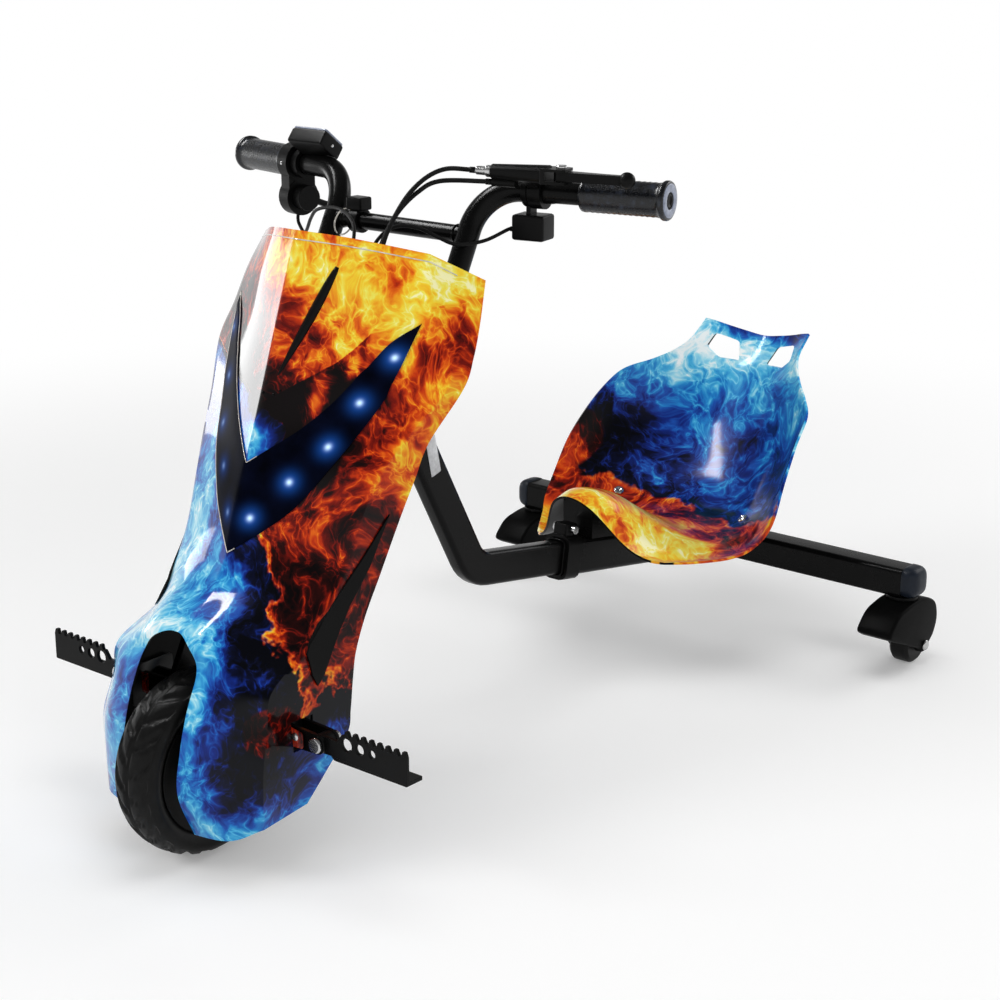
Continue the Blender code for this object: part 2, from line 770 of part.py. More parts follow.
# Bodies: an empty stands on each joint's axis
ROOT = body_empty("rear_frame_body", (0, 0, 0))
SLIDE_AXIS = Vector((0, -cos(SLEEVE_SLOPE), sin(SLEEVE_SLOPE)))
FRONT = body_empty("front_frame_body", Vector((0, 0, BEAM_HEIGHT)) + SLIDE_AXIS * SLEEVE_FRONT, ROOT)
STEERING = body_empty("steering_body", HEAD_CENTRE, FRONT)
WHEEL = body_empty("front_wheel_body", AXLE, STEERING)
SIDES = {"left": 1, "right": -1}
CASTERS = {name: body_empty(f"{name}_caster_body", (side * CASTER_PLACE, 0, HOOD_TOP), ROOT)
           for name, side in SIDES.items()}
CASTER_WHEELS = {name: body_empty(f"{name}_caster_wheel_body",
                                  (side * CASTER_PLACE, CASTER_TRAIL, CASTER_WHEEL_RADIUS), CASTERS[name])
                 for name, side in SIDES.items()}
PEG_AXIS_Y = PEG_BEHIND_AXLE - WHEELBASE
PEGS = {name: body_empty(f"{name}_peg_body", (side * PEG_HINGE, PEG_AXIS_Y, PEG_HEIGHT), STEERING)
        for name, side in SIDES.items()}
LEVER_PIVOT = bar_point(1, PERCH_PLACE + LEVER_PLACE, PERCH_FORWARD, PERCH_RISE)
LEVER = body_empty("brake_lever_body", LEVER_PIVOT, STEERING)
THUMB_PIVOT = bar_point(-1, THROTTLE_PLACE, 0.0, -THROTTLE_DROP)
THUMB = body_empty("thumb_lever_body", THUMB_PIVOT, STEERING)
BUTTON_PLACE = bar_point(1, SWITCH_PLACE, -SWITCH_SIZE.y / 2, -SWITCH_DROP)
BUTTON = body_empty("horn_button_body", BUTTON_PLACE, STEERING)


def make_front_wheel():
    tread = TYRE_RADIUS
    shoulder = TYRE_RADIUS - TYRE_SHOULDER
    wide = TYRE_HALF_WIDTH
    seat = HUB_RADIUS + GAP
    half = ((seat, BEAD_HALF), (HUB_RADIUS + 0.006, BEAD_HALF + 0.0035), (shoulder - 0.008, wide),
            (shoulder, wide - 0.003), (tread - 0.003, wide - 0.011), (tread, TREAD_HALF))
    profile = half + tuple((radius, -x) for radius, x in reversed(half))
    tyre = turned("front_tyre", profile, AXLE, (1, 0, 0), 36, ring=True)
    settle(tyre, WHEEL, "rubber")
    bore = AXLE_RADIUS + GAP
    rim = HUB_RADIUS - 0.010
    lip = HUB_RADIUS + HUB_LIP
    side = ((bore, HUB_HALF_WIDTH), (0.016, HUB_HALF_WIDTH), (0.020, HUB_HALF_WIDTH - 0.006),
            (rim, 0.0265), (HUB_RADIUS, 0.0250), (lip, 0.0246), (lip, 0.0232), (HUB_RADIUS, 0.0206))
    profile = side + tuple((radius, -x) for radius, x in reversed(side))
    hub = turned("hub_motor", profile, AXLE, (1, 0, 0), 36, ring=True)
    settle(hub, WHEEL, "hub_black")
    axle = rod("wheel_axle", AXLE_RADIUS, 2 * AXLE_HALF_LENGTH, AXLE, (1, 0, 0), 16)
    settle(axle, STEERING, "steel")
    for name, side in SIDES.items():
        start = LEG_OFFSET + LEG_THICKNESS / 2 + GAP
        nut = plate(f"{name}_axle_nut",
                    [arc((0, 0), NUT_FLATS / sqrt(3), 0, 5 * pi / 3, 5), circle((0, 0), AXLE_RADIUS + GAP)],
                    NUT_THICKNESS,
                    plane(AXLE + Vector((side * (start + NUT_THICKNESS / 2), 0, 0)), (0, 1, 0), (0, 0, 1)))
        settle(nut, STEERING, "steel")


def make_fork():
    for name, side in SIDES.items():
        top = CROWN_START - GAP
        wide = LEG_WIDTH / 2
        outline = arc((0, 0), LEG_END_RADIUS, -pi, 0, 10)
        outline += [(wide, LEG_END_RISE), (wide, top), (-wide, top), (-wide, LEG_END_RISE)]
        leg = plate(f"{name}_fork_leg", [outline, circle((0, 0), AXLE_RADIUS + GAP)], LEG_THICKNESS,
                    plane(AXLE + Vector((side * LEG_OFFSET, 0, 0)), BACK_AXIS, UP_AXIS))
        settle(leg, STEERING, "black_frame")
    half = LEG_OFFSET + LEG_THICKNESS / 2
    crown = plate("fork_crown",
                  [rounded_rectangle(half, CROWN_DEPTH / 2, CROWN_CORNER),
                   circle((0, 0), STEERER_RADIUS + GAP, 28)],
                  CROWN_THICKNESS,
                  plane(steering_point(0, 0, CROWN_START + CROWN_THICKNESS / 2), (1, 0, 0), BACK_AXIS))
    settle(crown, STEERING, "black_frame")
    top = yoke_bottom() + YOKE_THICKNESS + STEERER_TOP
    steerer = pipe("steerer_tube", STEERER_RADIUS - STEERER_WALL, STEERER_RADIUS, CROWN_START, top,
                   AXLE, UP_AXIS, 28)
    settle(steerer, STEERING, "black_frame")
    head_low = HEAD_DISTANCE - HEAD_LENGTH / 2
    head_high = HEAD_DISTANCE + HEAD_LENGTH / 2
    head = pipe("head_tube", HEAD_RADIUS - HEAD_WALL, HEAD_RADIUS, head_low, head_high, AXLE, UP_AXIS, 36)
    settle(head, FRONT, "black_frame")
    cup = HEAD_RADIUS - HEAD_WALL - GAP
    bore = STEERER_RADIUS + GAP
    for name, edge, way in (("upper_bearing", head_high, 1), ("lower_bearing", head_low, -1)):
        face = edge + way * GAP
        brim = HEAD_RADIUS + BEARING_BRIM
        profile = [(bore, face + way * BEARING_FLANGE), (brim, face + way * BEARING_FLANGE), (brim, face),
                   (cup, face), (cup, face - way * BEARING_CUP), (bore, face - way * BEARING_CUP)]
        bearing = turned(name, profile if way > 0 else profile[::-1], AXLE, UP_AXIS, 28, ring=True)
        settle(bearing, FRONT, "steel")
    low = yoke_bottom()
    eye = RISER_RADIUS + YOKE_EDGE
    front = YOKE_FRONT
    rear = YOKE_REAR
    outline = [(-front, -YOKE_THICKNESS), (front, -YOKE_THICKNESS)]
    outline += arc((RISER_OFFSET, RISER_SETBACK), eye, -pi / 3, 2 * pi / 3, 8)
    outline += [(rear, rear), (-rear, rear)]
    outline += arc((-RISER_OFFSET, RISER_SETBACK), eye, pi / 3, 4 * pi / 3, 8)
    yoke = plate("handlebar_yoke",
                 [outline, circle((0, 0), STEERER_RADIUS + GAP, 28)]
                 + [circle((side * RISER_OFFSET, RISER_SETBACK), RISER_RADIUS + GAP, 24) for side in (-1, 1)],
                 YOKE_THICKNESS,
                 plane(steering_point(0, 0, low + YOKE_THICKNESS / 2), (1, 0, 0), BACK_AXIS))
    settle(yoke, STEERING, "black_frame")


def make_handlebar():
    bottom = steering_point(RISER_OFFSET, RISER_SETBACK, yoke_bottom() - 0.004)
    corner = handlebar_corner()
    end = bar_point(1, BAR_END)
    halves = {}
    for name, side in SIDES.items():
        flip = Vector((side, 1, 1))
        path = filleted([bottom * flip, corner * flip, end * flip], BAR_BEND, 8)
        swage = Vector(path[-2]).lerp(Vector(path[-1]), 0.25)
        path.insert(-1, swage)
        thin = BAR_RADIUS / RISER_RADIUS
        shares = [1.0] * (len(path) - 2) + [thin, thin]
        halves[name] = as_mesh(tube(f"{name}_bar", path, RISER_RADIUS, 4, shares))
    along = (BAR_HEIGHT - CROSS_DROP - TYRE_RADIUS + RISER_SETBACK * sin(RAKE)) / cos(RAKE)
    middle = steering_point(0, RISER_SETBACK, along)
    cross = rod("cross_bar", CROSS_RADIUS, 2 * RISER_OFFSET, middle, (1, 0, 0), 18)
    bar = halves["left"]
    bar.name = "handlebar"
    boolean(bar, cutter(cross, STEERING), "UNION")
    boolean(bar, cutter(halves["right"], STEERING), "UNION")
    settle(bar, STEERING, "black_frame")
    for name, side in SIDES.items():
        inner = BAR_RADIUS + GAP
        length = GRIP_LENGTH
        profile = ((GRIP_END_HOLE, length), (GRIP_FLANGE - 0.002, length), (GRIP_FLANGE, length - 0.002),
                   (GRIP_FLANGE, length - 0.005), (GRIP_RADIUS, length - 0.007), (GRIP_RADIUS, 0.003),
                   (GRIP_RADIUS - 0.002, 0), (inner, 0), (inner, length - GRIP_END_WALL),
                   (GRIP_END_HOLE, length - GRIP_END_WALL))
        start = bar_point(side, BAR_END) - bar_axis(side) * (GRIP_LENGTH - GRIP_END_WALL - GAP)
        grip = turned(f"{name}_grip", profile, start, bar_axis(side), 24, ring=True)
        settle(grip, STEERING, "grip_rubber")
    return middle


def make_brake():
    """Perch clamped on the left bar, lever on its pivot, adjuster and the two cables."""
    axis = bar_axis(1)
    ahead = Vector((BAR_DIRECTION.y, -BAR_DIRECTION.x, 0))
    up = Vector((0, 0, 1))
    on_bar = bar_point(1, PERCH_PLACE)
    clamp = pipe("brake_perch", RISER_RADIUS + GAP, RISER_RADIUS + PERCH_WALL, -PERCH_WIDTH / 2,
                 PERCH_WIDTH / 2, on_bar, axis, 28)
    arm_end = ahead * PERCH_FORWARD + up * PERCH_RISE
    start = arm_end.normalized() * (RISER_RADIUS + 0.003)
    arm = block("perch_arm", (0.012, 0.010, (arm_end - start).length), on_bar + (arm_end + start) / 2,
                0.002, arm_end)
    boolean(clamp, cutter(arm, STEERING), "UNION")
    barrel_start = bar_point(1, PERCH_PLACE - PERCH_INNER, PERCH_FORWARD, PERCH_RISE)
    barrel_end = bar_point(1, PERCH_PLACE + PERCH_OUTER, PERCH_FORWARD, PERCH_RISE)
    barrel = rod("perch_barrel", PERCH_BARREL, (barrel_end - barrel_start).length,
                 (barrel_start + barrel_end) / 2, axis, 16, 0.010)
    boolean(clamp, cutter(barrel, STEERING), "UNION")
    thick = LEVER_THICKNESS + 2 * FORK_CHEEK
    stub_start = barrel_start - up * CUTOFF_DROP
    stub = rod("cutoff_stub", CABLE_RADIUS + 0.0018, CUTOFF_LENGTH, stub_start + axis * (CUTOFF_LENGTH / 2),
               axis, 16)
    boolean(clamp, cutter(stub, STEERING), "UNION")
    fork = plate("perch_fork", [rounded_rectangle(0.014, 0.012, 0.004)], thick,
                 plane(LEVER_PIVOT - axis * 0.006, axis, ahead))
    boolean(clamp, cutter(fork, STEERING), "UNION")
    slot = block("lever_slot", (0.034, 0.040, LEVER_THICKNESS + 2 * GAP), (0, 0, 0))
    slot.matrix_world = plane(LEVER_PIVOT + axis * 0.004, axis, ahead)
    boolean(clamp, cutter(slot, STEERING))
    bolt_hole = rod("pivot_hole", PIVOT_RADIUS + GAP, thick + OVERSHOOT, LEVER_PIVOT, up, 16)
    boolean(clamp, cutter(bolt_hole, STEERING))
    settle(clamp, STEERING, "satin_black")
    head = thick / 2 + GAP
    profile = ((0, head + 0.003), (PIVOT_HEAD - 0.001, head + 0.003), (PIVOT_HEAD, head + 0.002),
               (PIVOT_HEAD, head), (PIVOT_RADIUS, head), (PIVOT_RADIUS, -head), (0, -head))
    pivot = turned("lever_pivot", profile, LEVER_PIVOT, up, 14)
    settle(pivot, STEERING, "steel")
    reach = LEVER_LENGTH
    outline = arc((0, 0), 0.0075, pi / 2, 3 * pi / 2, 8)
    outline += [(0.020, -0.0060), (0.045, -0.0035), (reach, -0.0030)]
    outline += [(reach, 0.0045), (0.045, 0.0055), (0.020, 0.0065)]
    lever = plate("brake_lever", [outline, circle((0, 0), PIVOT_RADIUS + GAP, 16)], LEVER_THICKNESS,
                  plane(LEVER_PIVOT, axis, ahead))
    tip = ball("lever_ball", LEVER_BALL, LEVER_PIVOT + axis * reach)
    boolean(lever, cutter(tip, LEVER), "UNION")
    settle(lever, LEVER, "satin_black")
    screw_end = barrel_start - axis * GAP
    profile = ((0, 0), (ADJUSTER_RADIUS + 0.0015, 0), (ADJUSTER_RADIUS + 0.0015, -0.006),
               (ADJUSTER_RADIUS, -0.0065), (ADJUSTER_RADIUS, 0.001 - ADJUSTER_LENGTH),
               (ADJUSTER_RADIUS - 0.001, -ADJUSTER_LENGTH), (0, -ADJUSTER_LENGTH))
    adjuster = turned("barrel_adjuster", profile, screw_end, axis, 14)
    settle(adjuster, STEERING, "steel")
    return screw_end - axis * (ADJUSTER_LENGTH + GAP), stub_start - axis * GAP


def make_switch():
    place = bar_point(1, SWITCH_PLACE, 0, -SWITCH_DROP)
    axis = bar_axis(1)
    ahead = Vector((BAR_DIRECTION.y, -BAR_DIRECTION.x, 0))
    box = block("switch_box", SWITCH_SIZE, place, 0.003)
    box.rotation_euler = (0, 0, BAR_SWEEP)
    neck_top = bar_point(1, SWITCH_PLACE - SWITCH_BAND_SHIFT)
    band = rod("switch_band", RISER_RADIUS + SWITCH_BAND_WALL, SWITCH_BAND_WIDTH, neck_top, axis, 24)
    boolean(box, cutter(band, STEERING), "UNION")
    neck = block("switch_neck", (0.005, 0.014, SWITCH_DROP), (place + neck_top) / 2)
    neck.rotation_euler = (0, 0, BAR_SWEEP)
    boolean(box, cutter(neck, STEERING), "UNION")
    bore = rod("switch_bore", RISER_RADIUS + GAP, SWITCH_BAND_WIDTH + OVERSHOOT, neck_top, axis, 28)
    boolean(box, cutter(bore, STEERING))
    recess = rod("button_well", BUTTON_RADIUS + GAP, 2 * BUTTON_WELL, BUTTON_PLACE, ahead, 20)
    boolean(box, cutter(recess, STEERING))
    settle(box, STEERING, "satin_black")
    proud = BUTTON_TRAVEL + 0.001
    depth = BUTTON_WELL - BUTTON_TRAVEL - GAP
    profile = ((0, proud), (BUTTON_RADIUS - 0.001, proud), (BUTTON_RADIUS, proud - 0.001),
               (BUTTON_RADIUS, -depth), (0, -depth))
    button = turned("horn_button", profile, BUTTON_PLACE, -ahead, 16)
    settle(button, BUTTON, "red_plastic")
    return place - axis * (SWITCH_SIZE.x / 2 + GAP) - Vector((0, 0, 0.004))


def make_throttle():
    axis = bar_axis(-1)
    on_bar = bar_point(-1, THROTTLE_PLACE)
    half = THROTTLE_WIDTH / 2
    housing = rod("throttle_housing", THROTTLE_RADIUS - 0.001, THROTTLE_WIDTH, on_bar, axis, 32)
    drum_place = THUMB_PIVOT
    drum = rod("throttle_drum", THROTTLE_RADIUS - 0.002, THROTTLE_WIDTH, drum_place, axis, 28)
    web = block("throttle_web", (0.034, THROTTLE_WIDTH - 0.002, THROTTLE_DROP), (0, 0, 0))
    web.matrix_world = plane((on_bar + drum_place) / 2, (axis.y, -axis.x, 0), axis)
    boolean(housing, cutter(drum, STEERING), "UNION")
    boolean(housing, cutter(web, STEERING), "UNION")
    bore = rod("throttle_bore", RISER_RADIUS + GAP, THROTTLE_WIDTH + OVERSHOOT, on_bar, axis, 28)
    boolean(housing, cutter(bore, STEERING))
    pin_bore = rod("thumb_pin_bore", THUMB_PIN + RUNNING_GAP, THROTTLE_WIDTH + OVERSHOOT, drum_place,
                   axis, 20)
    boolean(housing, cutter(pin_bore, STEERING))
    settle(housing, STEERING, "satin_black")
    inner = -axis
    hub_half = THUMB_WIDTH / 2
    hub_place = drum_place + inner * (half + GAP + hub_half)
    lever = rod("thumb_lever", THUMB_HUB, THUMB_WIDTH, hub_place, axis, 24)
    stub = rod("thumb_pin", THUMB_PIN, THROTTLE_WIDTH, drum_place + inner * (GAP + 0.001), axis, 16)
    boolean(lever, cutter(stub, THUMB), "UNION")
    paddle_axis = Vector((0, cos(THUMB_REST), -sin(THUMB_REST)))
    paddle_axis = (paddle_axis - axis * axis.dot(paddle_axis)).normalized()
    paddle_size = (THUMB_WIDTH - 0.001, THUMB_THICKNESS, THUMB_LENGTH - 2 * THUMB_INSET)
    paddle = block("thumb_paddle", paddle_size, (0, 0, 0), 0.0025)
    paddle.matrix_world = plane(hub_place + paddle_axis * (THUMB_LENGTH / 2 + THUMB_INSET), inner,
                                paddle_axis.cross(inner))
    boolean(lever, cutter(paddle, THUMB), "UNION")
    settle(lever, THUMB, "satin_black")
    return drum_place - Vector((0, 0, THROTTLE_RADIUS - 0.002 + GAP))


def make_display():
    """Battery display on a band round the bar, beside the throttle."""
    axis = bar_axis(-1)
    band = DISPLAY_BAND / 2
    place = bar_point(-1, THROTTLE_PLACE - THROTTLE_WIDTH / 2 - band - 0.0015)
    display = pipe("battery_display", RISER_RADIUS + GAP, RISER_RADIUS + DISPLAY_WALL, -band, band, place,
                   axis, 28)
    face = Vector((0, sin(DISPLAY_TILT), cos(DISPLAY_TILT)))
    case = block("display_case", DISPLAY_SIZE, (0, 0, 0), 0.003)
    centre = place - axis * (DISPLAY_SIZE.x / 2) + Vector((0, -0.004, RISER_RADIUS + DISPLAY_RISE))
    case.matrix_world = plane(centre, (1, 0, 0), face.cross(Vector((1, 0, 0))))
    boolean(display, cutter(case, STEERING), "UNION")
    bore = rod("display_bore", RISER_RADIUS + GAP, 2 * DISPLAY_SIZE.x, place, axis, 28)
    boolean(display, cutter(bore, STEERING))
    settle(display, STEERING, "satin_black")


def make_power_switch(middle):
    """Key switch block that sits on the cross bar."""
    place = middle + Vector((KEY_PLACE, 0, 0))
    half = KEY_BAND / 2
    band = pipe("power_switch", CROSS_RADIUS + GAP, CROSS_RADIUS + KEY_WALL, -half, half, place,
                (1, 0, 0), 24)
    case = block("power_case", KEY_SIZE, place + Vector((0, 0, CROSS_RADIUS + KEY_SIZE.z / 2 + 0.002)), 0.002)
    boolean(band, cutter(case, STEERING), "UNION")
    settle(band, STEERING, "satin_black")


def brake_arm_tip():
    middle = HUB_HALF_WIDTH + RUNNING_GAP + BRAKE_ARM_THICKNESS / 2
    return steering_point(middle, BRAKE_ARM_BACK, BRAKE_ARM_UP)


def make_brake_arm():
    """The lever on the hub's brake plate that the cable pulls."""
    tip = (BRAKE_ARM_BACK, BRAKE_ARM_UP)
    length = sqrt(tip[0] ** 2 + tip[1] ** 2)
    lean = acos((ARM_RING - ARM_EYE) / length)
    outline = arc((0, 0), ARM_RING, lean, 2 * pi - lean, 14) + arc((length, 0), ARM_EYE, -lean, lean, 6)
    along = (BACK_AXIS * tip[0] + UP_AXIS * tip[1]).normalized()
    across = along.cross(Vector((1, 0, 0)))
    centre = AXLE + Vector((HUB_HALF_WIDTH + RUNNING_GAP + BRAKE_ARM_THICKNESS / 2, 0, 0))
    arm = plate("brake_arm", [outline, circle((0, 0), AXLE_RADIUS + GAP)], BRAKE_ARM_THICKNESS,
                plane(centre, along, across))
    settle(arm, STEERING, "steel")


def make_cables(starts):
    """Each cable leaves its housing straight, follows its route and ends straight in its socket."""
    low_end = brake_arm_tip() + Vector((0, 0, ARM_EYE + GAP))
    sink = CONTROLLER_TOP + UP_AXIS * GAP
    span = BAR_HEIGHT - CONTROLLER_TOP.z
    for name, points in CABLE_ROUTES.items():
        place, way = starts[name]
        route = [place, place + way * CABLE_STUB]
        route += [Vector((x, y - WHEELBASE, CONTROLLER_TOP.z + share * span)) for x, y, share in points]
        if name in LEAD_PLACES:
            socket = sink + Vector((LEAD_PLACES[name], 0, 0))
            route += [socket + UP_AXIS * LEAD_LENGTH, socket]
        else:
            route += [Vector((x, y - WHEELBASE, z)) for x, y, z in BRAKE_DROP]
            route += [low_end + Vector((0, 0, CABLE_END)), low_end]
        radius = CABLE_RADIUS if name in ("brake_cable", "cutoff_cable") else WIRE_RADIUS
        cable = tube(name, flowing(route, CORD_STEP), radius, 2)
        settle(cable, STEERING, "cable_black")


def shell_grid():
    rows = [[(x, y - WHEELBASE, z) for x, y, z in row] for row in SHELL_ROWS]
    return net(rows, NET_STEPS, NET_STEPS, straight_from=len(rows[0]) - 2)


def make_shell():
    shell = half_sheet("front_shell", shell_grid(), flip=True)
    thickened(shell, SHELL_WALL)
    round_centre = SLOT_TOP - SLOT_HALF_WIDTH
    outline = arc((0, round_centre), SLOT_HALF_WIDTH, 0, pi, 14)
    outline += [(-SLOT_HALF_WIDTH, -OVERSHOOT), (SLOT_HALF_WIDTH, -OVERSHOOT)]
    slot = plate("wheel_slot", [outline], SLOT_REACH,
                 plane((0, -WHEELBASE - SLOT_SETBACK, 0), (1, 0, 0), (0, 0, 1)))
    boolean(shell, cutter(slot, STEERING))
    for name, side in SIDES.items():
        hole = block(f"{name}_bracket_hole",
                     (BRACKET_HOLE_DEPTH, CLEVIS_GAP + BRACKET_HOLE_ROOM, BRACKET_TALL + 2 * GAP),
                     (side * BRACKET_HOLE_PLACE, PEG_AXIS_Y, PEG_HEIGHT))
        boolean(shell, cutter(hole, STEERING))
    settle(shell, STEERING, "shell_print")
    full = [(x, z) for x, z in LENS_OUTLINE] + [(-x, z) for x, z in LENS_OUTLINE[-2:0:-1]]
    lens = skin("lamp_lens")
    tool = plate("lens_outline", [full], LENS_REACH, plane((0, -WHEELBASE, 0), (1, 0, 0), (0, 0, 1)))
    boolean(lens, cutter(tool, STEERING), "INTERSECT")
    settle(lens, STEERING, "smoked_lens")
    for name, side in SIDES.items():
        vent = skin(f"{name}_vent")
        outline = [(y - WHEELBASE, z) for y, z in VENT_OUTLINE]
        tool = plate(f"{name}_vent_outline", [outline], VENT_REACH,
                     plane((side * VENT_SIDE, 0, 0), (0, 1, 0), (0, 0, 1)))
        boolean(vent, cutter(tool, STEERING), "INTERSECT")
        settle(vent, STEERING, "satin_black")


def skin(name):
    """A thin layer that lies just off the column shell's outer face."""
    made = half_sheet(name, shell_grid(), flip=True)
    lift = made.modifiers.new("lift", "DISPLACE")
    lift.mid_level = 0.0
    lift.strength = SKIN_GAP
    thickened(made, LENS_THICKNESS, 1.0)
    return made


def make_electrics():
    centre = steering_point(0, 0, TYRE_RADIUS + BATTERY_RISE + BATTERY_SIZE.z / 2)
    battery = block("battery_box", BATTERY_SIZE, centre, BATTERY_CORNER, UP_AXIS)
    settle(battery, STEERING, "battery_blue")
    place = CONTROLLER_TOP - UP_AXIS * (CONTROLLER_SIZE.z / 2)
    controller = block("controller_box", CONTROLLER_SIZE, place, 0.003, UP_AXIS)
    settle(controller, STEERING, "controller_grey")


def make_pegs():
    for name, side in SIDES.items():
        leg_face = LEG_OFFSET + LEG_THICKNESS / 2
        out = Vector((side, 0, 0))
        pivot = Vector((side * PEG_HINGE, PEG_AXIS_Y, PEG_HEIGHT))
        cheek = (CLEVIS_GAP + BRACKET_PLATE) / 2
        foot = Vector((side * (leg_face + GAP + 0.003), PEG_AXIS_Y, PEG_HEIGHT))
        bracket = block(f"{name}_peg_bracket", (0.006, 0.026, BRACKET_TALL), foot, 0.0015)
        reach = PEG_HINGE - leg_face
        for way in (-1, 1):
            arm_outline = [(0.002, -BRACKET_TALL / 2 + 0.002), (reach - 0.002, -0.010)]
            arm_outline += arc((reach, 0), 0.010, -pi / 2, pi / 2, 8)
            arm_outline += [(0.002, BRACKET_TALL / 2 - 0.002)]
            arm = plate(f"{name}_bracket_arm", [arm_outline], BRACKET_PLATE,
                        plane((side * leg_face, PEG_AXIS_Y + way * cheek, PEG_HEIGHT), out, (0, 0, 1)))
            boolean(bracket, cutter(arm, STEERING), "UNION")
        web = block(f"{name}_bracket_web", (BRACKET_WEB, 2 * cheek, BRACKET_PLATE),
                    (side * (leg_face + BRACKET_WEB / 2 + 0.003), PEG_AXIS_Y, PEG_HEIGHT - 2 * BRACKET_PLATE))
        boolean(bracket, cutter(web, STEERING), "UNION")
        hole = rod(f"{name}_bracket_pin_hole", PEG_PIN_RADIUS + GAP, 0.060, pivot, (0, 1, 0), 20)
        boolean(bracket, cutter(hole, STEERING))
        settle(bracket, STEERING, "black_frame")
        grip = cheek + BRACKET_PLATE / 2 + GAP
        profile = ((0, grip + 0.004), (0.007, grip + 0.004), (0.008, grip + 0.003), (0.008, grip),
                   (PEG_PIN_RADIUS, grip), (PEG_PIN_RADIUS, -grip), (0.007, -grip), (0.007, -grip - 0.005),
                   (0, -grip - 0.005))
        bolt = turned(f"{name}_peg_bolt", profile, pivot, (0, -1, 0), 14)
        settle(bolt, STEERING, "steel")
        make_peg(name, side, pivot)


def make_peg(name, side, pivot):
    """A toothed plate with holes and a flange below it, on an eye round the hinge bolt."""
    length = PEG_TIP - PEG_HINGE
    out = Vector((side, 0, 0))
    low = PEG_LOW
    high = low + PEG_TALL
    pitch = (length - PEG_TEETH_START - 0.002) / PEG_TEETH
    outline = [(0.018, low), (length, low), (length, high - PEG_TOOTH)]
    for k in range(PEG_TEETH):
        edge = length - k * pitch
        outline += [(edge - 0.002, high), (edge - pitch * 0.5, high), (edge - pitch * 0.62, high - PEG_TOOTH),
                    (edge - pitch + 0.0005, high - PEG_TOOTH)]
    outline += [(PEG_TEETH_START - 0.004, 0.008)]
    outline += arc((0, 0), 0.009, pi / 2, 3 * pi / 2, 8) + [(0.014, -0.009)]
    holes = [circle((x - PEG_HINGE, PEG_HOLE_RISE), wide / 2, 16) for x, wide in PEG_HOLES]
    front = -CLEVIS_GAP / 2 + GAP
    face = plane(pivot + Vector((0, front + SEAM + PEG_PLATE / 2, 0)), out, (0, 0, 1))
    peg = plate(f"{name}_foot_peg", [outline] + holes, PEG_PLATE, face)
    eye = rod(f"{name}_peg_eye", PEG_EYE_RADIUS, -2 * front, pivot, (0, 1, 0), 24)
    boolean(peg, cutter(eye, PEGS[name]), "UNION")
    start = PEG_FLANGE_START
    flange = block(f"{name}_peg_flange", (length - start - SEAM, PEG_FLANGE, PEG_PLATE),
                   pivot + Vector((side * (start + length - SEAM) / 2, front + 2 * SEAM + PEG_FLANGE / 2,
                                   low - SEAM + PEG_PLATE / 2)))
    boolean(peg, cutter(flange, PEGS[name]), "UNION")
    pin = rod(f"{name}_peg_bore", PEG_PIN_RADIUS + GAP, 2 * OVERSHOOT, pivot, (0, 1, 0), 24)
    boolean(peg, cutter(pin, PEGS[name]))
    settle(peg, PEGS[name], "satin_black")


def sleeve_point(distance, rise=0.0, across=0.0):
    """A place on the sleeve's line, measured forward from the beam."""
    up = Vector((0, sin(SLEEVE_SLOPE), cos(SLEEVE_SLOPE)))
    return Vector((across, 0, BEAM_HEIGHT)) + SLIDE_AXIS * distance + up * rise


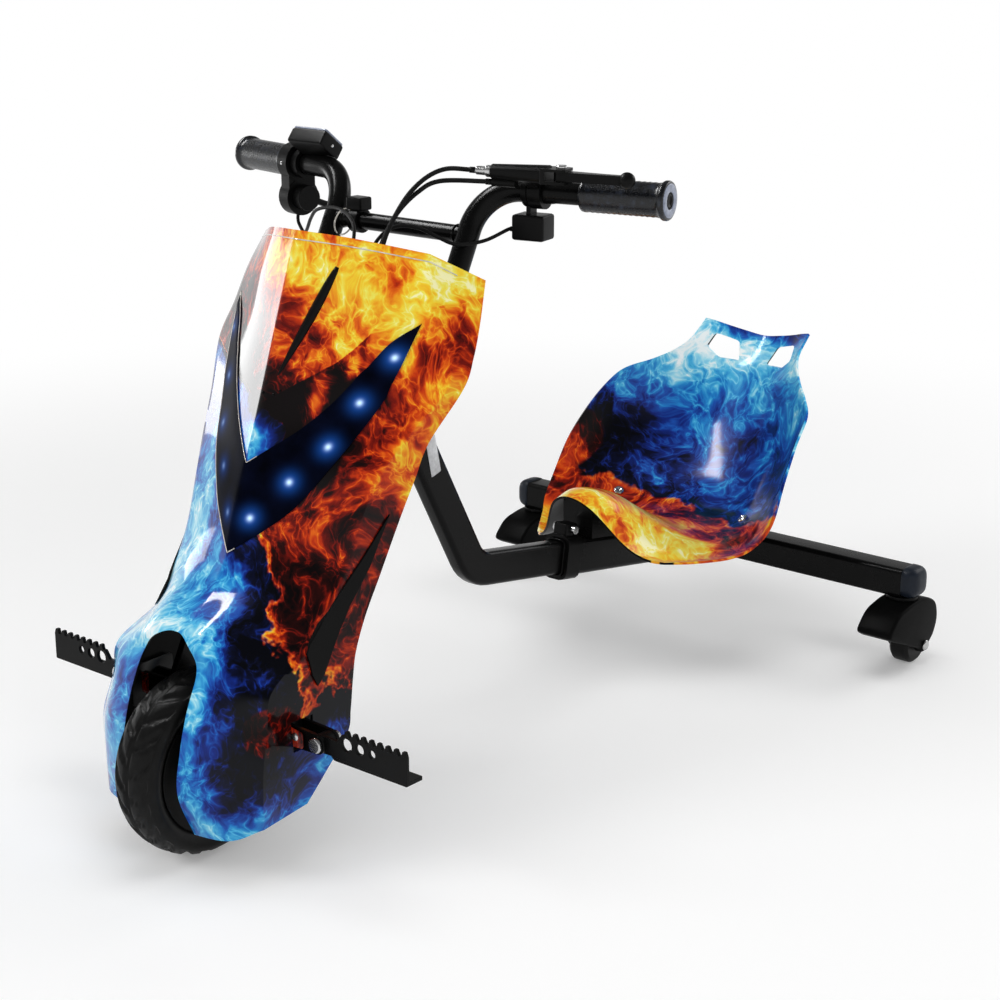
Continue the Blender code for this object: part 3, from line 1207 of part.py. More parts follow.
def make_frame():
    start = HEAD_CENTRE + BACK_AXIS * 0.004
    bend_one = HEAD_CENTRE + BACK_AXIS * NECK_LENGTH
    fall = Vector((0, cos(DOWN_TUBE_SLOPE), -sin(DOWN_TUBE_SLOPE)))
    gap = Vector((0, 0, BEAM_HEIGHT)) - bend_one
    reach = (gap.y * SLIDE_AXIS.z - gap.z * SLIDE_AXIS.y) / (fall.y * SLIDE_AXIS.z - fall.z * SLIDE_AXIS.y)
    bend_two = bend_one + fall * reach
    path = filleted([start, bend_one, bend_two, sleeve_point(TUBE_END)], TUBE_BEND, 6)
    outer = rounded_rectangle(TUBE_WIDE / 2, TUBE_TALL / 2, TUBE_CORNER)
    inner = rounded_rectangle(TUBE_WIDE / 2 - TUBE_WALL, TUBE_TALL / 2 - TUBE_WALL, TUBE_CORNER - TUBE_WALL)
    frame_tube = swept("frame_tube", path, outer, inner)
    notch = rod("head_notch", HEAD_RADIUS + GAP, HEAD_LENGTH, HEAD_CENTRE, UP_AXIS, 36)
    boolean(frame_tube, cutter(notch, FRONT))
    settle(frame_tube, FRONT, "black_frame")
    in_x = TUBE_WIDE / 2 + RUNNING_GAP
    in_z = TUBE_TALL / 2 + RUNNING_GAP
    out_x = in_x + SLEEVE_WALL
    out_z = in_z + SLEEVE_WALL
    sleeve = swept("outer_sleeve", [sleeve_point(SLEEVE_FRONT), sleeve_point(BEAM_HALF - 0.010)],
                   rounded_rectangle(out_x, out_z, SLEEVE_CORNER),
                   rounded_rectangle(in_x, in_z, SLEEVE_CORNER - SLEEVE_WALL))
    cut = 2 * (BEAM_HALF + GAP)
    end = block("beam_seat", (4 * cut, cut, 4 * cut), (0, 0, BEAM_HEIGHT))
    boolean(sleeve, cutter(end, ROOT))
    settle(sleeve, ROOT, "black_frame")
    centre = SLEEVE_FRONT - CLAMP_LENGTH / 2 - 0.004
    half_x = out_x + GAP
    half_z = out_z + GAP
    collar = swept("clamp_collar",
                   [sleeve_point(centre + CLAMP_LENGTH / 2), sleeve_point(centre - CLAMP_LENGTH / 2)],
                   rounded_rectangle(half_x + CLAMP_WALL, half_z + CLAMP_WALL, SLEEVE_CORNER + CLAMP_WALL),
                   rounded_rectangle(half_x, half_z, SLEEVE_CORNER + GAP))
    lug_rise = out_z + GAP + CLAMP_WALL + CLAMP_LUG / 2 - 0.002
    lug_size = (0.020, CLAMP_LUG, CLAMP_LENGTH - 0.004)
    lug = block("clamp_lug", lug_size, sleeve_point(centre, lug_rise), 0.002, SLIDE_AXIS)
    boolean(collar, cutter(lug, ROOT), "UNION")
    bolt_place = sleeve_point(centre, lug_rise + 0.001)
    hole = rod("clamp_bolt_hole", CLAMP_BOLT_RADIUS + GAP, 0.060, bolt_place, (1, 0, 0), 16)
    boolean(collar, cutter(hole, ROOT))
    settle(collar, ROOT, "satin_black")
    end = 0.010 + GAP
    profile = ((0, end + 0.006), (0.005, end + 0.006), (0.005, end), (CLAMP_BOLT_RADIUS, end),
               (CLAMP_BOLT_RADIUS, -end), (0.0055, -end), (0.0055, -end - 0.005), (0, -end - 0.005))
    bolt = turned("clamp_bolt", profile, bolt_place, (1, 0, 0), 16)
    settle(bolt, ROOT, "steel")


def make_beam():
    outer = rounded_rectangle(BEAM_HALF, BEAM_HALF, BEAM_CORNER)
    inner = rounded_rectangle(BEAM_HALF - BEAM_WALL, BEAM_HALF - BEAM_WALL, BEAM_CORNER - BEAM_WALL)
    centre = Vector((0, 0, BEAM_HEIGHT))
    beam = plate("rear_beam", [outer, inner], BEAM_LENGTH, plane(centre, (0, 1, 0), (0, 0, 1)))
    under = BEAM_HEIGHT - BEAM_HALF
    low = HOOD_TOP + RUNNING_GAP
    high = under + PLATE_SINK
    for name, side in SIDES.items():
        place = Vector((side * CASTER_PLACE, 0, (high + low) / 2))
        boss = rod(f"{name}_caster_plate", PLATE_RADIUS, high - low, place, (0, 0, 1), 28)
        boolean(beam, cutter(boss, ROOT), "UNION")
        hole = rod(f"{name}_stem_hole", STEM_RADIUS + RUNNING_GAP, BEAM_HALF, (side * CASTER_PLACE, 0, under),
                   (0, 0, 1), 24)
        boolean(beam, cutter(hole, ROOT))
        end = BEAM_LENGTH / 2
        cap = block(f"{name}_beam_cap", (CAP_THICKNESS, 2 * BEAM_HALF, 2 * BEAM_HALF),
                    (side * (end + GAP + CAP_THICKNESS / 2), 0, BEAM_HEIGHT))
        cap.data = chamfered_cap(cap.data, side)
        plug_half = BEAM_HALF - BEAM_WALL - GAP
        plug = block(f"{name}_cap_plug", (CAP_PLUG, 2 * plug_half, 2 * plug_half),
                     (side * (end - CAP_PLUG / 2 + GAP + 0.001), 0, BEAM_HEIGHT), BEAM_CORNER)
        deep = 4 * BEAM_HALF
        notch = rod(f"{name}_stem_room", STEM_RADIUS + 0.002, deep,
                    (side * CASTER_PLACE, 0, BEAM_HEIGHT + STEM_ROOM - deep / 2), (0, 0, 1), 20)
        boolean(cap, cutter(plug, ROOT), "UNION")
        boolean(cap, cutter(notch, ROOT))
        relief = rod(f"{name}_plate_room", PLATE_RADIUS + GAP, deep,
                     (side * CASTER_PLACE, 0, high + GAP - deep / 2), (0, 0, 1), 28)
        boolean(cap, cutter(relief, ROOT))
        settle(cap, ROOT, "satin_black")
    settle(beam, ROOT, "black_frame")


def chamfered_cap(mesh, side):
    """Round the cap's outer edges and leave its inner face as wide as the beam."""
    work = bmesh.new()
    work.from_mesh(mesh)
    inner = -side * CAP_THICKNESS / 2
    edges = [edge for edge in work.edges if not all(abs(v.co.x - inner) < MERGE for v in edge.verts)]
    bmesh.ops.bevel(work, geom=edges, offset=CAP_BEVEL, segments=2, profile=CAP_ROUND, affect="EDGES",
                    clamp_overlap=True)
    work.to_mesh(mesh)
    work.free()
    return mesh


def make_casters():
    for name, side in SIDES.items():
        place = Vector((side * CASTER_PLACE, 0, 0))
        body = CASTERS[name]
        rise = HOOD_TOP - CASTER_WHEEL_RADIUS
        outline = [(y, CASTER_WHEEL_RADIUS + share * rise) for y, share in HOOD_FRONT]
        outline += arc((CASTER_TRAIL, CASTER_WHEEL_RADIUS), AXLE_BOSS, pi, 2 * pi, 8)
        outline += [(y, CASTER_WHEEL_RADIUS + share * rise) for y, share in HOOD_REAR]
        hood = plate(f"{name}_caster_hood", [outline], 2 * HOOD_HALF, plane(place, (0, 1, 0), (0, 0, 1)))
        wheel_place = place + Vector((0, CASTER_TRAIL, CASTER_WHEEL_RADIUS))
        wide = 2 * (CASTER_WHEEL_HALF + HOOD_ROOM)
        room = rod(f"{name}_wheel_room", HOOD_BORE, wide, wheel_place, (1, 0, 0), 28)
        boolean(hood, cutter(room, body))
        chute = block(f"{name}_wheel_chute", (wide, 2 * HOOD_BORE, 2 * HOOD_BORE),
                      wheel_place - Vector((0, 0, HOOD_BORE)))
        boolean(hood, cutter(chute, body))
        pin = rod(f"{name}_axle_hole", CASTER_AXLE_RADIUS + GAP, 0.12, wheel_place, (1, 0, 0), 20)
        boolean(hood, cutter(pin, body))
        stem = rod(f"{name}_stem", STEM_RADIUS, STEM_LENGTH + STEM_SINK,
                   place + Vector((0, 0, HOOD_TOP + (STEM_LENGTH - STEM_SINK) / 2)), (0, 0, 1), 20)
        boolean(hood, cutter(stem, body), "UNION")
        settle(hood, body, "satin_black")
        half = CASTER_WHEEL_HALF
        bore = CASTER_AXLE_RADIUS + GAP
        profile = ((bore, half), (CASTER_WHEEL_RADIUS - 0.004, half), (CASTER_WHEEL_RADIUS, half - 0.004),
                   (CASTER_WHEEL_RADIUS, 0.004 - half), (CASTER_WHEEL_RADIUS - 0.004, -half), (bore, -half))
        wheel = turned(f"{name}_caster_wheel", profile, wheel_place, (1, 0, 0), 28, ring=True)
        settle(wheel, CASTER_WHEELS[name], "rubber")
        end = HOOD_HALF + GAP
        profile = ((0, end + 0.003), (0.0055, end + 0.003), (0.0065, end + 0.002), (0.0065, end),
                   (CASTER_AXLE_RADIUS, end), (CASTER_AXLE_RADIUS, -end), (0.0065, -end),
                   (0.0065, -end - 0.002), (0.0055, -end - 0.003), (0, -end - 0.003))
        axle = turned(f"{name}_caster_axle", profile, wheel_place, (1, 0, 0), 14)
        settle(axle, body, "steel")


def seat_point(row, column):
    x, y, rise = SEAT_ROWS[row][column]
    return Vector((x, y, BEAM_HEIGHT + rise))


def seat_sheet(name):
    rows = [[seat_point(i, j) for j in range(len(row))] for i, row in enumerate(SEAT_ROWS)]
    return half_sheet(name, net(rows, NET_STEPS, NET_STEPS, mirrored=True), flip=False)


def seat_bolt_line(side):
    """Where a seat bolt goes through the seat's top face, and the face's own direction there."""
    row, column = SEAT_BOLT_STATION
    place = seat_point(row, column)
    ahead = seat_point(row + 1, column) - seat_point(row - 1, column)
    across = seat_point(row, column + 1) - seat_point(row, column - 1)
    up = across.cross(ahead).normalized()
    flip = Vector((side, 1, 1))
    return place * flip, up * flip


def make_seat():
    seat = seat_sheet("seat_shell")
    thickened(seat, SEAT_WALL)
    for name, side in SIDES.items():
        outline = [(side * x, BEAM_HEIGHT + rise) for x, rise in SEAT_WINDOW]
        window = plate(f"{name}_window", [outline], WINDOW_REACH,
                       plane((0, WINDOW_PLACE, 0), (1, 0, 0), (0, 0, 1)))
        boolean(seat, cutter(window, ROOT))
        place, up = seat_bolt_line(side)
        hole = rod(f"{name}_seat_hole", SEAT_BOLT_RADIUS + GAP, OVERSHOOT, place, up, 16)
        boolean(seat, cutter(hole, ROOT))
        spot = rod(f"{name}_bolt_spot", SEAT_BOLT_HEAD + 0.0015, OVERSHOOT / 2,
                   place + up * (OVERSHOOT / 4 - SEAT_SPOT), up, 20)
        boolean(seat, cutter(spot, ROOT))
    settle(seat, ROOT, "seat_print")


def make_seat_bracket():
    """A cross rail and a front block under the seat, on a spine that lies along the sleeve."""
    sleeve_top = TUBE_TALL / 2 + RUNNING_GAP + SLEEVE_WALL + GAP
    hold = seat_bolt_line(1)[0]
    rail = block("seat_bracket", (2 * (hold.x + RAIL_END), RAIL_WIDTH, RAIL_RISE + RAIL_DROP),
                 hold + Vector((-hold.x, 0, (RAIL_RISE - RAIL_DROP) / 2)))
    front, rear = SPINE_REACH
    tall = [(y, BEAM_HEIGHT + z) for y, z in SPINE_TOP]
    foot = [sleeve_point(rear, sleeve_top), sleeve_point(front, sleeve_top)]
    outline = tall + [(point.y, point.z) for point in foot]
    spine = plate("bracket_spine", [outline], SPINE_WIDTH, plane((0, 0, 0), (0, 1, 0), (0, 0, 1)))
    boolean(rail, cutter(spine, ROOT), "UNION")
    under = seat_sheet("seat_underside")
    thickened(under, SEAT_ROOM, 1 - 2 * (SEAT_WALL + GAP) / SEAT_ROOM)
    boolean(rail, cutter(under, ROOT))
    for name, side in SIDES.items():
        place, up = seat_bolt_line(side)
        hole = rod(f"{name}_rail_hole", SEAT_BOLT_RADIUS + GAP, 2 * (RAIL_DROP + RAIL_RISE), place, up, 16)
        boolean(rail, cutter(hole, ROOT))
        head = SEAT_BOLT_HEAD
        profile = ((0, GAP + 0.003), (head - 0.0025, GAP + 0.003), (head, GAP + 0.001), (head, GAP),
                   (SEAT_BOLT_RADIUS, GAP), (SEAT_BOLT_RADIUS, -SEAT_BOLT_LENGTH), (0, -SEAT_BOLT_LENGTH))
        bolt = turned(f"{name}_seat_bolt", profile, place, up, 14)
        settle(bolt, ROOT, "steel")
    settle(rail, ROOT, "black_frame")


make_front_wheel()
make_fork()
CROSS_MIDDLE = make_handlebar()
BRAKE_START, CUTOFF_START = make_brake()
SWITCH_START = make_switch()
THROTTLE_BOTTOM = make_throttle()
make_display()
make_power_switch(CROSS_MIDDLE)
make_brake_arm()
INWARD = -bar_axis(1)
make_cables({"brake_cable": (BRAKE_START, INWARD), "cutoff_cable": (CUTOFF_START, INWARD),
             "switch_cable": (SWITCH_START, INWARD), "throttle_cable": (THROTTLE_BOTTOM, Vector((0, 0, -1)))})
make_shell()
make_electrics()
make_pegs()
make_frame()
make_beam()
make_casters()
make_seat()
make_seat_bracket()
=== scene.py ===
"""Looks of the three-wheel scooter: printed shell and seat, lamp lens, tyre, cables and finishes.

Metres, +Z up, in the frame's own coordinates. The rider faces -Y, and the rider's left is +X.
"""

import json
from math import acos, cos, pi, radians, sin, tan

import bmesh
import bpy
from mathutils import Matrix, Vector
from mathutils.bvhtree import BVHTree


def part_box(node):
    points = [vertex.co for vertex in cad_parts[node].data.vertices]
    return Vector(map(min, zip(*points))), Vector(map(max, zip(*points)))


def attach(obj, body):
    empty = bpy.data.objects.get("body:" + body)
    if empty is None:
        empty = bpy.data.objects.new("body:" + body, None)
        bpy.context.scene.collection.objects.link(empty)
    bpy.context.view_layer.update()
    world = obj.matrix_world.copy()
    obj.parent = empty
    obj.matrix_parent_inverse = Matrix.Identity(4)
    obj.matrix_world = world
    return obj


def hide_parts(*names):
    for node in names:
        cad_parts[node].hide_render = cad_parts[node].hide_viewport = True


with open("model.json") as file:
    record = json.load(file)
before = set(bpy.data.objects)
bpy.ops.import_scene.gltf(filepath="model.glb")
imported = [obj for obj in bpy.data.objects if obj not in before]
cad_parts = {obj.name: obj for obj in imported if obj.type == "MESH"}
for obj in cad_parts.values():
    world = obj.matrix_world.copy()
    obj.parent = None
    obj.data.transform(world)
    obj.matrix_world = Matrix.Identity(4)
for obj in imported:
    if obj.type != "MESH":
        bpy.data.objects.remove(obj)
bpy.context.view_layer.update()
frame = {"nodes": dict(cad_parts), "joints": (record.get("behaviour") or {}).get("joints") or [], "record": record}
NODES = frame["nodes"]
SIDES = {"left": 1, "right": -1}
LEFT = Vector((1, 0, 0))
REAR = Vector((0, 1, 0))
UP = Vector((0, 0, 1))


def middle(node):
    low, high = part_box(node)
    return (low + high) / 2


def size(node):
    low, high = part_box(node)
    return high - low


# Places and directions read from the frame
AXLE = middle("wheel_axle")
BEAM = middle("rear_beam")
STEERING = next(joint for joint in frame["joints"] if joint["name"] == "steering_turn")
UP_AXIS = Vector(STEERING["axis"]).normalized()
BACK_AXIS = Vector((0, UP_AXIS.z, -UP_AXIS.y))

# Handlebar, grips and cables
RISER_OFFSET = 0.094
RISER_SETBACK = 0.045
RISER_RADIUS = 0.012
RISER_SINK = 0.005
BAR_RADIUS = 0.0111
BAR_HEIGHT = 0.640
BAR_END = 0.291
BAR_SWEEP = radians(12.0)
BAR_DIRECTION = Vector((cos(BAR_SWEEP), sin(BAR_SWEEP), 0))
BAR_BEND = 0.050
CROSS_DROP = 0.046
CROSS_RADIUS = 0.009
GRIP_LENGTH = 0.092
GRIP_RADIUS = 0.0172
GRIP_FLANGE = 0.0196
GRIP_END_WALL = 0.004
GRIP_RIBS = 26
GRIP_GROOVE = 0.0005
GAP = 0.0003
CABLE_RADIUS = 0.0024
WIRE_RADIUS = 0.0019
WELD_REACH = 0.0012
TIE_X = -0.0806
TIE_DROP = 0.0038
TIE_LOOP = 0.0142
TIE_LEAN = 0.0030
TIE_RADIUS = 0.0009
THROTTLE_REACH = 0.194
THROTTLE_FACE = 0.0214
DISPLAY_TILT = radians(38.0)
# Plates of the display: half width, half length, rise over its face, and finish
DISPLAY_PLATES = (("display_rim", .0250, .0162, .0008, "rim_highlight"),
                  ("display_glass", .0222, .0134, .0019, "screen"))
DISPLAY_WALL = 0.0022
DISPLAY_CORNER = 0.004
DISPLAY_SCREW_DROP = 0.0095
LEVER_BALL = 0.0081
LEVER_BALL_INSET = 0.0078

# Shell, lens and the parts on them
SHELL_WALL = 0.003
SHELL_LINE_ROW = 2
SHELL_LINE_RADIUS = 0.0006
SLOT_HALF_WIDTH = 0.041
SLOT_TOP = 0.239
SLOT_FOOT = -0.020
SLOT_DEPTH = 0.150
SLOT_AHEAD = 0.045
BRACKET_WALL_X = 0.108
BRACKET_ROOM = 0.0014
BRACKET_HOLE_DEPTH = 0.060
LENS_CROWN = 0.0028
LENS_WALL = 0.0024
LENS_FULL_WIDTH = 0.012
BEAD_END_X = 0.012
# Pale beads of painted highlight along the lens: name, end of each row of its grid, and radius
LENS_BEADS = (("lens_lower_bead", 0, .0006), ("lens_upper_bead", -1, .0004))
# A slim black strip, painted shade in place of the upper panel's groove: ends as x and height, then sizes
GROOVE_SHADE_TOP = (0.0476, 0.5755)
GROOVE_SHADE_FOOT = (0.0112, 0.4710)
GROOVE_SHADE_HALF_WIDTH = 0.0044
GROOVE_SHADE_TIP = 0.0002
GROOVE_SHADE_CROWN = 0.0030
GROOVE_SHADE_SINK = 0.0004
GROOVE_SHADE_WALL = 0.0010
STUD_PLACES = ((0.0002, 0.4538), (0.0107, 0.4522), (0.0164, 0.4562))
FOOT_INNER = 0.0960
FOOT_OUTER = 0.1290
FOOT_LIFT = 0.0004
FOOT_WALL = 0.0006
# A black sheet of painted shade inside the shell, behind each bracket slot
SHADE_SHEET_X = 0.1070
SHADE_SHEET_WALL = 0.0010
RIVET_X = 0.1185
LABEL_LIFT = 0.0004
LABEL_WALL = 0.0003
LABEL_CORNERS = ((-.1330, .3590), (-.1180, .3635), (-.1085, .3205), (-.1235, .3160))

# Shell rows from the rim down: centre crease, front facet, front corner and rear edge,
# as x, distance behind the front axle, and height.
SHELL_ROWS = (
    ((0, .156, .608), (.055, .176, .603), (.115, .223, .588), (.150, .266, .560)),
    ((0, .141, .565), (.062, .166, .562), (.128, .208, .552), (.158, .248, .520)),
    ((0, .125, .520), (.066, .156, .518), (.145, .202, .512), (.165, .230, .490)),
    ((0, .108, .470), (.070, .141, .470), (.164, .196, .472), (.171, .208, .464)),
    ((0, .092, .425), (.066, .123, .425), (.143, .163, .425), (.150, .180, .412)),
    ((0, .078, .387), (.062, .104, .387), (.128, .136, .387), (.140, .170, .375)),
    ((0, .064, .345), (.058, .088, .345), (.120, .116, .345), (.133, .156, .338)),
    ((0, .048, .301), (.056, .068, .300), (.116, .098, .298), (.129, .130, .285)),
    ((0, .026, .270), (.052, .040, .268), (.112, .076, .262), (.124, .113, .245)),
    ((0, -.024, .239), (.045, -.017, .237), (.108, .050, .228), (.120, .103, .210)),
    ((0, -.036, .222), (.070, -.027, .205), (.112, -.004, .198), (.118, .100, .182)),
    ((0, -.056, .178), (.072, -.042, .170), (.113, -.012, .165), (.116, .098, .150)),
    ((0, -.070, .136), (.074, -.052, .130), (.118, -.024, .125), (.114, .095, .125)),
    ((0, -.078, .096), (.076, -.054, .090), (.116, -.024, .085), (.112, .068, .095)),
    ((0, -.045, .038), (.085, -.046, .050), (.108, -.017, .058), (.110, .040, .066)),
)

# Lamp lens: pairs of lower and upper edge points as x and height, from the middle to the tip.
LENS_PAIRS = (
    ((0, .301), (0, .387)),
    ((.030, .324), (.022, .404)),
    ((.056, .349), (.044, .422)),
    ((.083, .392), (.066, .446)),
    ((.110, .447), (.080, .466)),
    ((.115, .466), (.085, .475)),
    ((.120, .486), (.092, .484)),
    ((.124, .506), (.106, .506)),
    ((.128, .525), (.127, .524)),
)
# Lower edge of the upper panel, along which a band of painted shade runs, and the lit dots: x and height.
PANEL_EDGE = ((0, .443), (.063, .4855), (.075, .498), (.100, .530))
LAMP_DOTS = ((.016, .336), (.047, .373), (.075, .408), (.093, .450), (.114, .493))

# Seat stations from the front lip to the head rest: centre to rim, as x, and distance behind and
# over the beam's middle. The bolts stand at the station and column of SEAT_BOLT_STATION.
SEAT_ROWS = (
    ((0, -.303, .1225), (.03, -.296, .1095), (.06, -.271, .0665), (.08, -.255, .0495), (.098, -.241, .0445)),
    ((0, -.272, .1265), (.032, -.262, .1135), (.062, -.242, .0665), (.092, -.222, .0415),
     (.124, -.204, .0425)),
    ((0, -.225, .1125), (.036, -.218, .0945), (.07, -.202, .0545), (.11, -.182, .0385), (.148, -.168, .0445)),
    ((0, -.17, .0805), (.042, -.166, .0665), (.08, -.16, .0465), (.125, -.15, .0395), (.163, -.145, .0555)),
    ((0, -.12, .0555), (.046, -.12, .0495), (.09, -.12, .0445), (.138, -.12, .0515), (.17, -.12, .0785)),
    ((0, -.06, .0535), (.05, -.062, .0525), (.098, -.07, .0585), (.142, -.082, .0865), (.167, -.092, .1235)),
    ((0, -.02, .0705), (.05, -.022, .0725), (.098, -.032, .0865), (.138, -.045, .1235), (.16, -.056, .1635)),
    ((0, .015, .1005), (.048, .012, .1045), (.092, .002, .1205), (.128, -.01, .1555), (.153, -.022, .1915)),
    ((0, .042, .1335), (.045, .04, .1385), (.084, .028, .1575), (.114, .012, .1865), (.138, -.004, .2085)),
    ((0, .062, .1655), (.04, .06, .1715), (.072, .05, .1865), (.096, .036, .2065), (.113, .024, .2195)),
    ((0, .078, .1935), (.034, .076, .1985), (.058, .068, .2085), (.078, .058, .2205), (.094, .048, .2315)),
    ((0, .092, .2185), (.03, .091, .2215), (.053, .085, .2275), (.07, .076, .2365), (.083, .068, .2455)),
    ((0, .118, .2505), (.028, .115, .2545), (.05, .109, .2595), (.067, .102, .2645), (.08, .097, .2675)),
)
SEAT_WINDOW = ((.021, .2175), (.030, .2405), (.062, .2495), (.066, .2325), (.050, .2195))
SEAT_WINDOW_BACK = 0.090
SEAT_WINDOW_DEPTH = 0.120
SEAT_WINDOW_CORNER = 0.004
SEAT_WALL = 0.003
SEAT_BOLT_STATION = (5, 2)

# Beam plugs and caster hoods. A hood's outline runs from its top round the front to the axle, then up
# its rear: distance behind the stem, and height as a share of the way from the axle to the top.
PLUG_START = 0.2962
PLUG_LENGTH = 0.0206
PLUG_HALF = 0.0194
PLUG_CHAMFER = 0.0010
PLUG_SQUARENESS = 3.8
PLUG_HEIGHT = middle("left_beam_cap").z + .0006
HOOD_FRONT = ((.020, 1), (-.014, 1), (-.049, .895), (-.072, .534), (-.060, .408), (-.020, .157),
              (-.002, .031))
HOOD_REAR = ((.044, .126), (.052, .455), (.046, .816))
HOOD_BOSS = 0.011
HOOD_HALF = 0.024
HOOD_BORE = 0.0305
HOOD_ROOM = 0.030
HOOD_CORNER = 0.012
HOOD_SHOULDER = 0.0036
HOOD_CLEARANCE = 0.0005

# Tyre: radius and half width from the bead to the crown, scaled to the CAD tyre
TYRE_SIDE = ((.0663, .020), (.0695, .0222), (.0735, .0258), (.0785, .0281), (.0835, .0276), (.0880, .0248),
             (.0915, .0200), (.0940, .0145), (.0955, .0075), (.0960, 0))
TYRE_BEAD_HALF = 0.0120
TYRE_SCALE = size("front_tyre").z / 2 / TYRE_SIDE[-1][0]
TYRE_HALF = size("front_tyre").x / 2
TYRE_STEPS = 288
TREAD_FROM = 0.085
TREAD_BLOCKS = 22
TREAD_DEPTH = 0.0028
SIPE_DEPTH = 0.0012
RIB_DEPTH = 0.0016

# Turned profiles: radius and distance along the axis
STUD = ((.0014, -.0006), (.0014, .0004), (.0009, .0009), (0, .0011))
SEAT_BOLT = ((0, -.0138), (.0026, -.0138), (.0030, -.0132), (.0030, -.0010), (.0064, -.0010), (.0070, -.0004),
             (.0070, .0016), (.0063, .0028), (.0048, .0036), (.0030, .0039), (.0027, .0022), (0, .0022))
HOOD_STEM = ((0, -.004), (.006, -.004), (.006, .0218), (.0052, .0228), (0, .0228))
WELD_BEAD = ((.0088, -.0006), (.0104, 0), (.0100, .0014), (.0090, .0024))
GRIP_PLUG = ((0, -.0012), (.0072, -.0012), (.0074, -.0002), (.0066, .0004), (.0052, .0002), (.0046, -.0006),
             (0, -.0006))
GRIP_RING = ((.0086, -.0004), (.0086, .0004), (.0094, .0008), (.0158, .0008), (.0168, .0003), (.0168, -.0004),
             (.0086, -.0004))
RIVET = ((.0042, -.0004), (.0044, .0006), (.0036, .0016), (.0018, .0022), (0, .0024))
SMALL_SCREW = ((.0019, -.0008), (.0019, .0003), (.0013, .0009), (0, .0011))

# Cable routes: x, distance behind the front axle, and height as a share of the way from the
# controller's top to the bar. The brake cable's last stretch has plain heights.
CABLE_ROUTES = {
    "brake_cable": (
        (.084, .284, 1.114), (.073, .268, 1.078), (.066, .250, 1.005), (.062, .234, .907),
        (.060, .218, .782), (.060, .206, .611), (.062, .194, .404), (.068, .174, .067),
    ),
    "cutoff_cable": (
        (.080, .278, 1.052), (.068, .258, 1.000), (.058, .238, .896), (.052, .222, .751),
        (.048, .206, .560), (.042, .186, .378), (.034, .163, .171),
    ),
    "switch_cable": (
        (.113, .308, .741), (.100, .281, .731), (.084, .270, .767), (.066, .260, .813),
        (.052, .244, .824), (.042, .230, .772), (.036, .214, .648), (.030, .194, .456),
        (.020, .166, .233),
    ),
    "throttle_cable": (
        (-.178, .340, .606), (-.155, .322, .648), (-.126, .300, .741), (-.098, .282, .813),
        (-.063, .270, .850), (-.028, .253, .850), (.000, .236, .803), (.010, .222, .699),
        (.008, .206, .560), (-.002, .186, .404), (-.010, .163, .223),
    ),
}
BRAKE_DROP = (
    (.074, .143, .380), (.078, .103, .300), (.080, .070, .235), (.074, .060, .195), (.055, .061, .160),
)
CONTROLLER_TOP = (-0.0333, 0.377)
LEAD_PLACES = {"cutoff_cable": 0.030, "switch_cable": 0.014, "throttle_cable": -0.012}
LEAD_LENGTH = 0.012
CABLE_STUB = 0.008
CABLE_END = 0.014
CABLE_STEP = 0.004

# Camera at the photograph's angle, and the levels of the backdrop
AZIMUTH = radians(39.98)
ELEVATION = radians(16.81)
TARGET = Vector((-.0784, .0991, .2216))
DISTANCE = 2.4286
LENS_LENGTH = 72.19
SENSOR_WIDTH = 36.0
WORLD_LEVEL = .42
WORLD_OVERHEAD = .16
FLOOR_GLOW = .20
FLOOR_RADIUS = 60.0
FLOOR_FADE = (.75, 2.2)


def linear(code):
    """A colour written as six hex digits, as the linear values that a shader takes."""
    parts = [int(code[i:i + 2], 16) / 255 for i in (0, 2, 4)]
    return tuple(c / 12.92 if c <= 0.04045 else ((c + 0.055) / 1.055) ** 2.4 for c in parts) + (1.0,)


def grey(value):
    return (value, value, value, 1.0)


class Tree:
    """The node tree of a material or world, written as expressions."""

    def __init__(self, owner):
        owner.use_nodes = True
        self.owner = owner
        self.tree = owner.node_tree
        self.coordinates = self.node("TexCoord").outputs
        self.place = self.coordinates["Object"]

    def node(self, kind, inputs=(), **settings):
        """A new node; its inputs go by number or name, and hold values or other nodes' outputs."""
        node = self.tree.nodes.new("ShaderNode" + kind)
        for name, value in settings.items():
            setattr(node, name, value)
        self.feed(node, inputs)
        return node

    def feed(self, node, inputs):
        for socket, value in dict(inputs).items():
            if isinstance(value, bpy.types.NodeSocket):
                self.tree.links.new(value, node.inputs[socket])
            else:
                node.inputs[socket].default_value = value

    def calc(self, operation, a, b=0.0, c=0.0, clamp=False):
        return self.node("Math", {0: a, 1: b, 2: c}, operation=operation, use_clamp=clamp).outputs[0]

    def line(self, value, gain, offset, clamp=False):
        """The value times gain plus offset."""
        return self.calc("MULTIPLY_ADD", value, gain, offset, clamp)

    def total(self, result, *others):
        for other in others:
            result = self.calc("ADD", result, other)
        return result

    def times(self, result, *others):
        for other in others:
            result = self.calc("MULTIPLY", result, other)
        return result

    def vector(self, operation, a, b=(0, 0, 0), c=(0, 0, 0)):
        node = self.node("VectorMath", {0: a, 1: b, 2: c}, operation=operation)
        return node.outputs["Value" if operation in ("DOT_PRODUCT", "LENGTH") else "Vector"]

    def parts(self, vector):
        return self.node("SeparateXYZ", {0: vector}).outputs

    def step(self, value, low, high, first=0.0, last=1.0):
        """A number that eases from first to last while value goes from low to high."""
        if low > high:
            low, high, first, last = high, low, last, first
        inputs = {"Value": value, "From Min": low, "From Max": high, "To Min": first, "To Max": last}
        return self.node("MapRange", inputs, interpolation_type="SMOOTHSTEP").outputs[0]

    def shown(self):
        """1 for rays that show the backdrop itself, straight or in metal and glass."""
        rays = self.node("LightPath").outputs
        straight = self.calc("MAXIMUM", rays["Is Camera Ray"], rays["Is Glossy Ray"])
        return self.calc("MAXIMUM", straight, rays["Is Transmission Ray"])


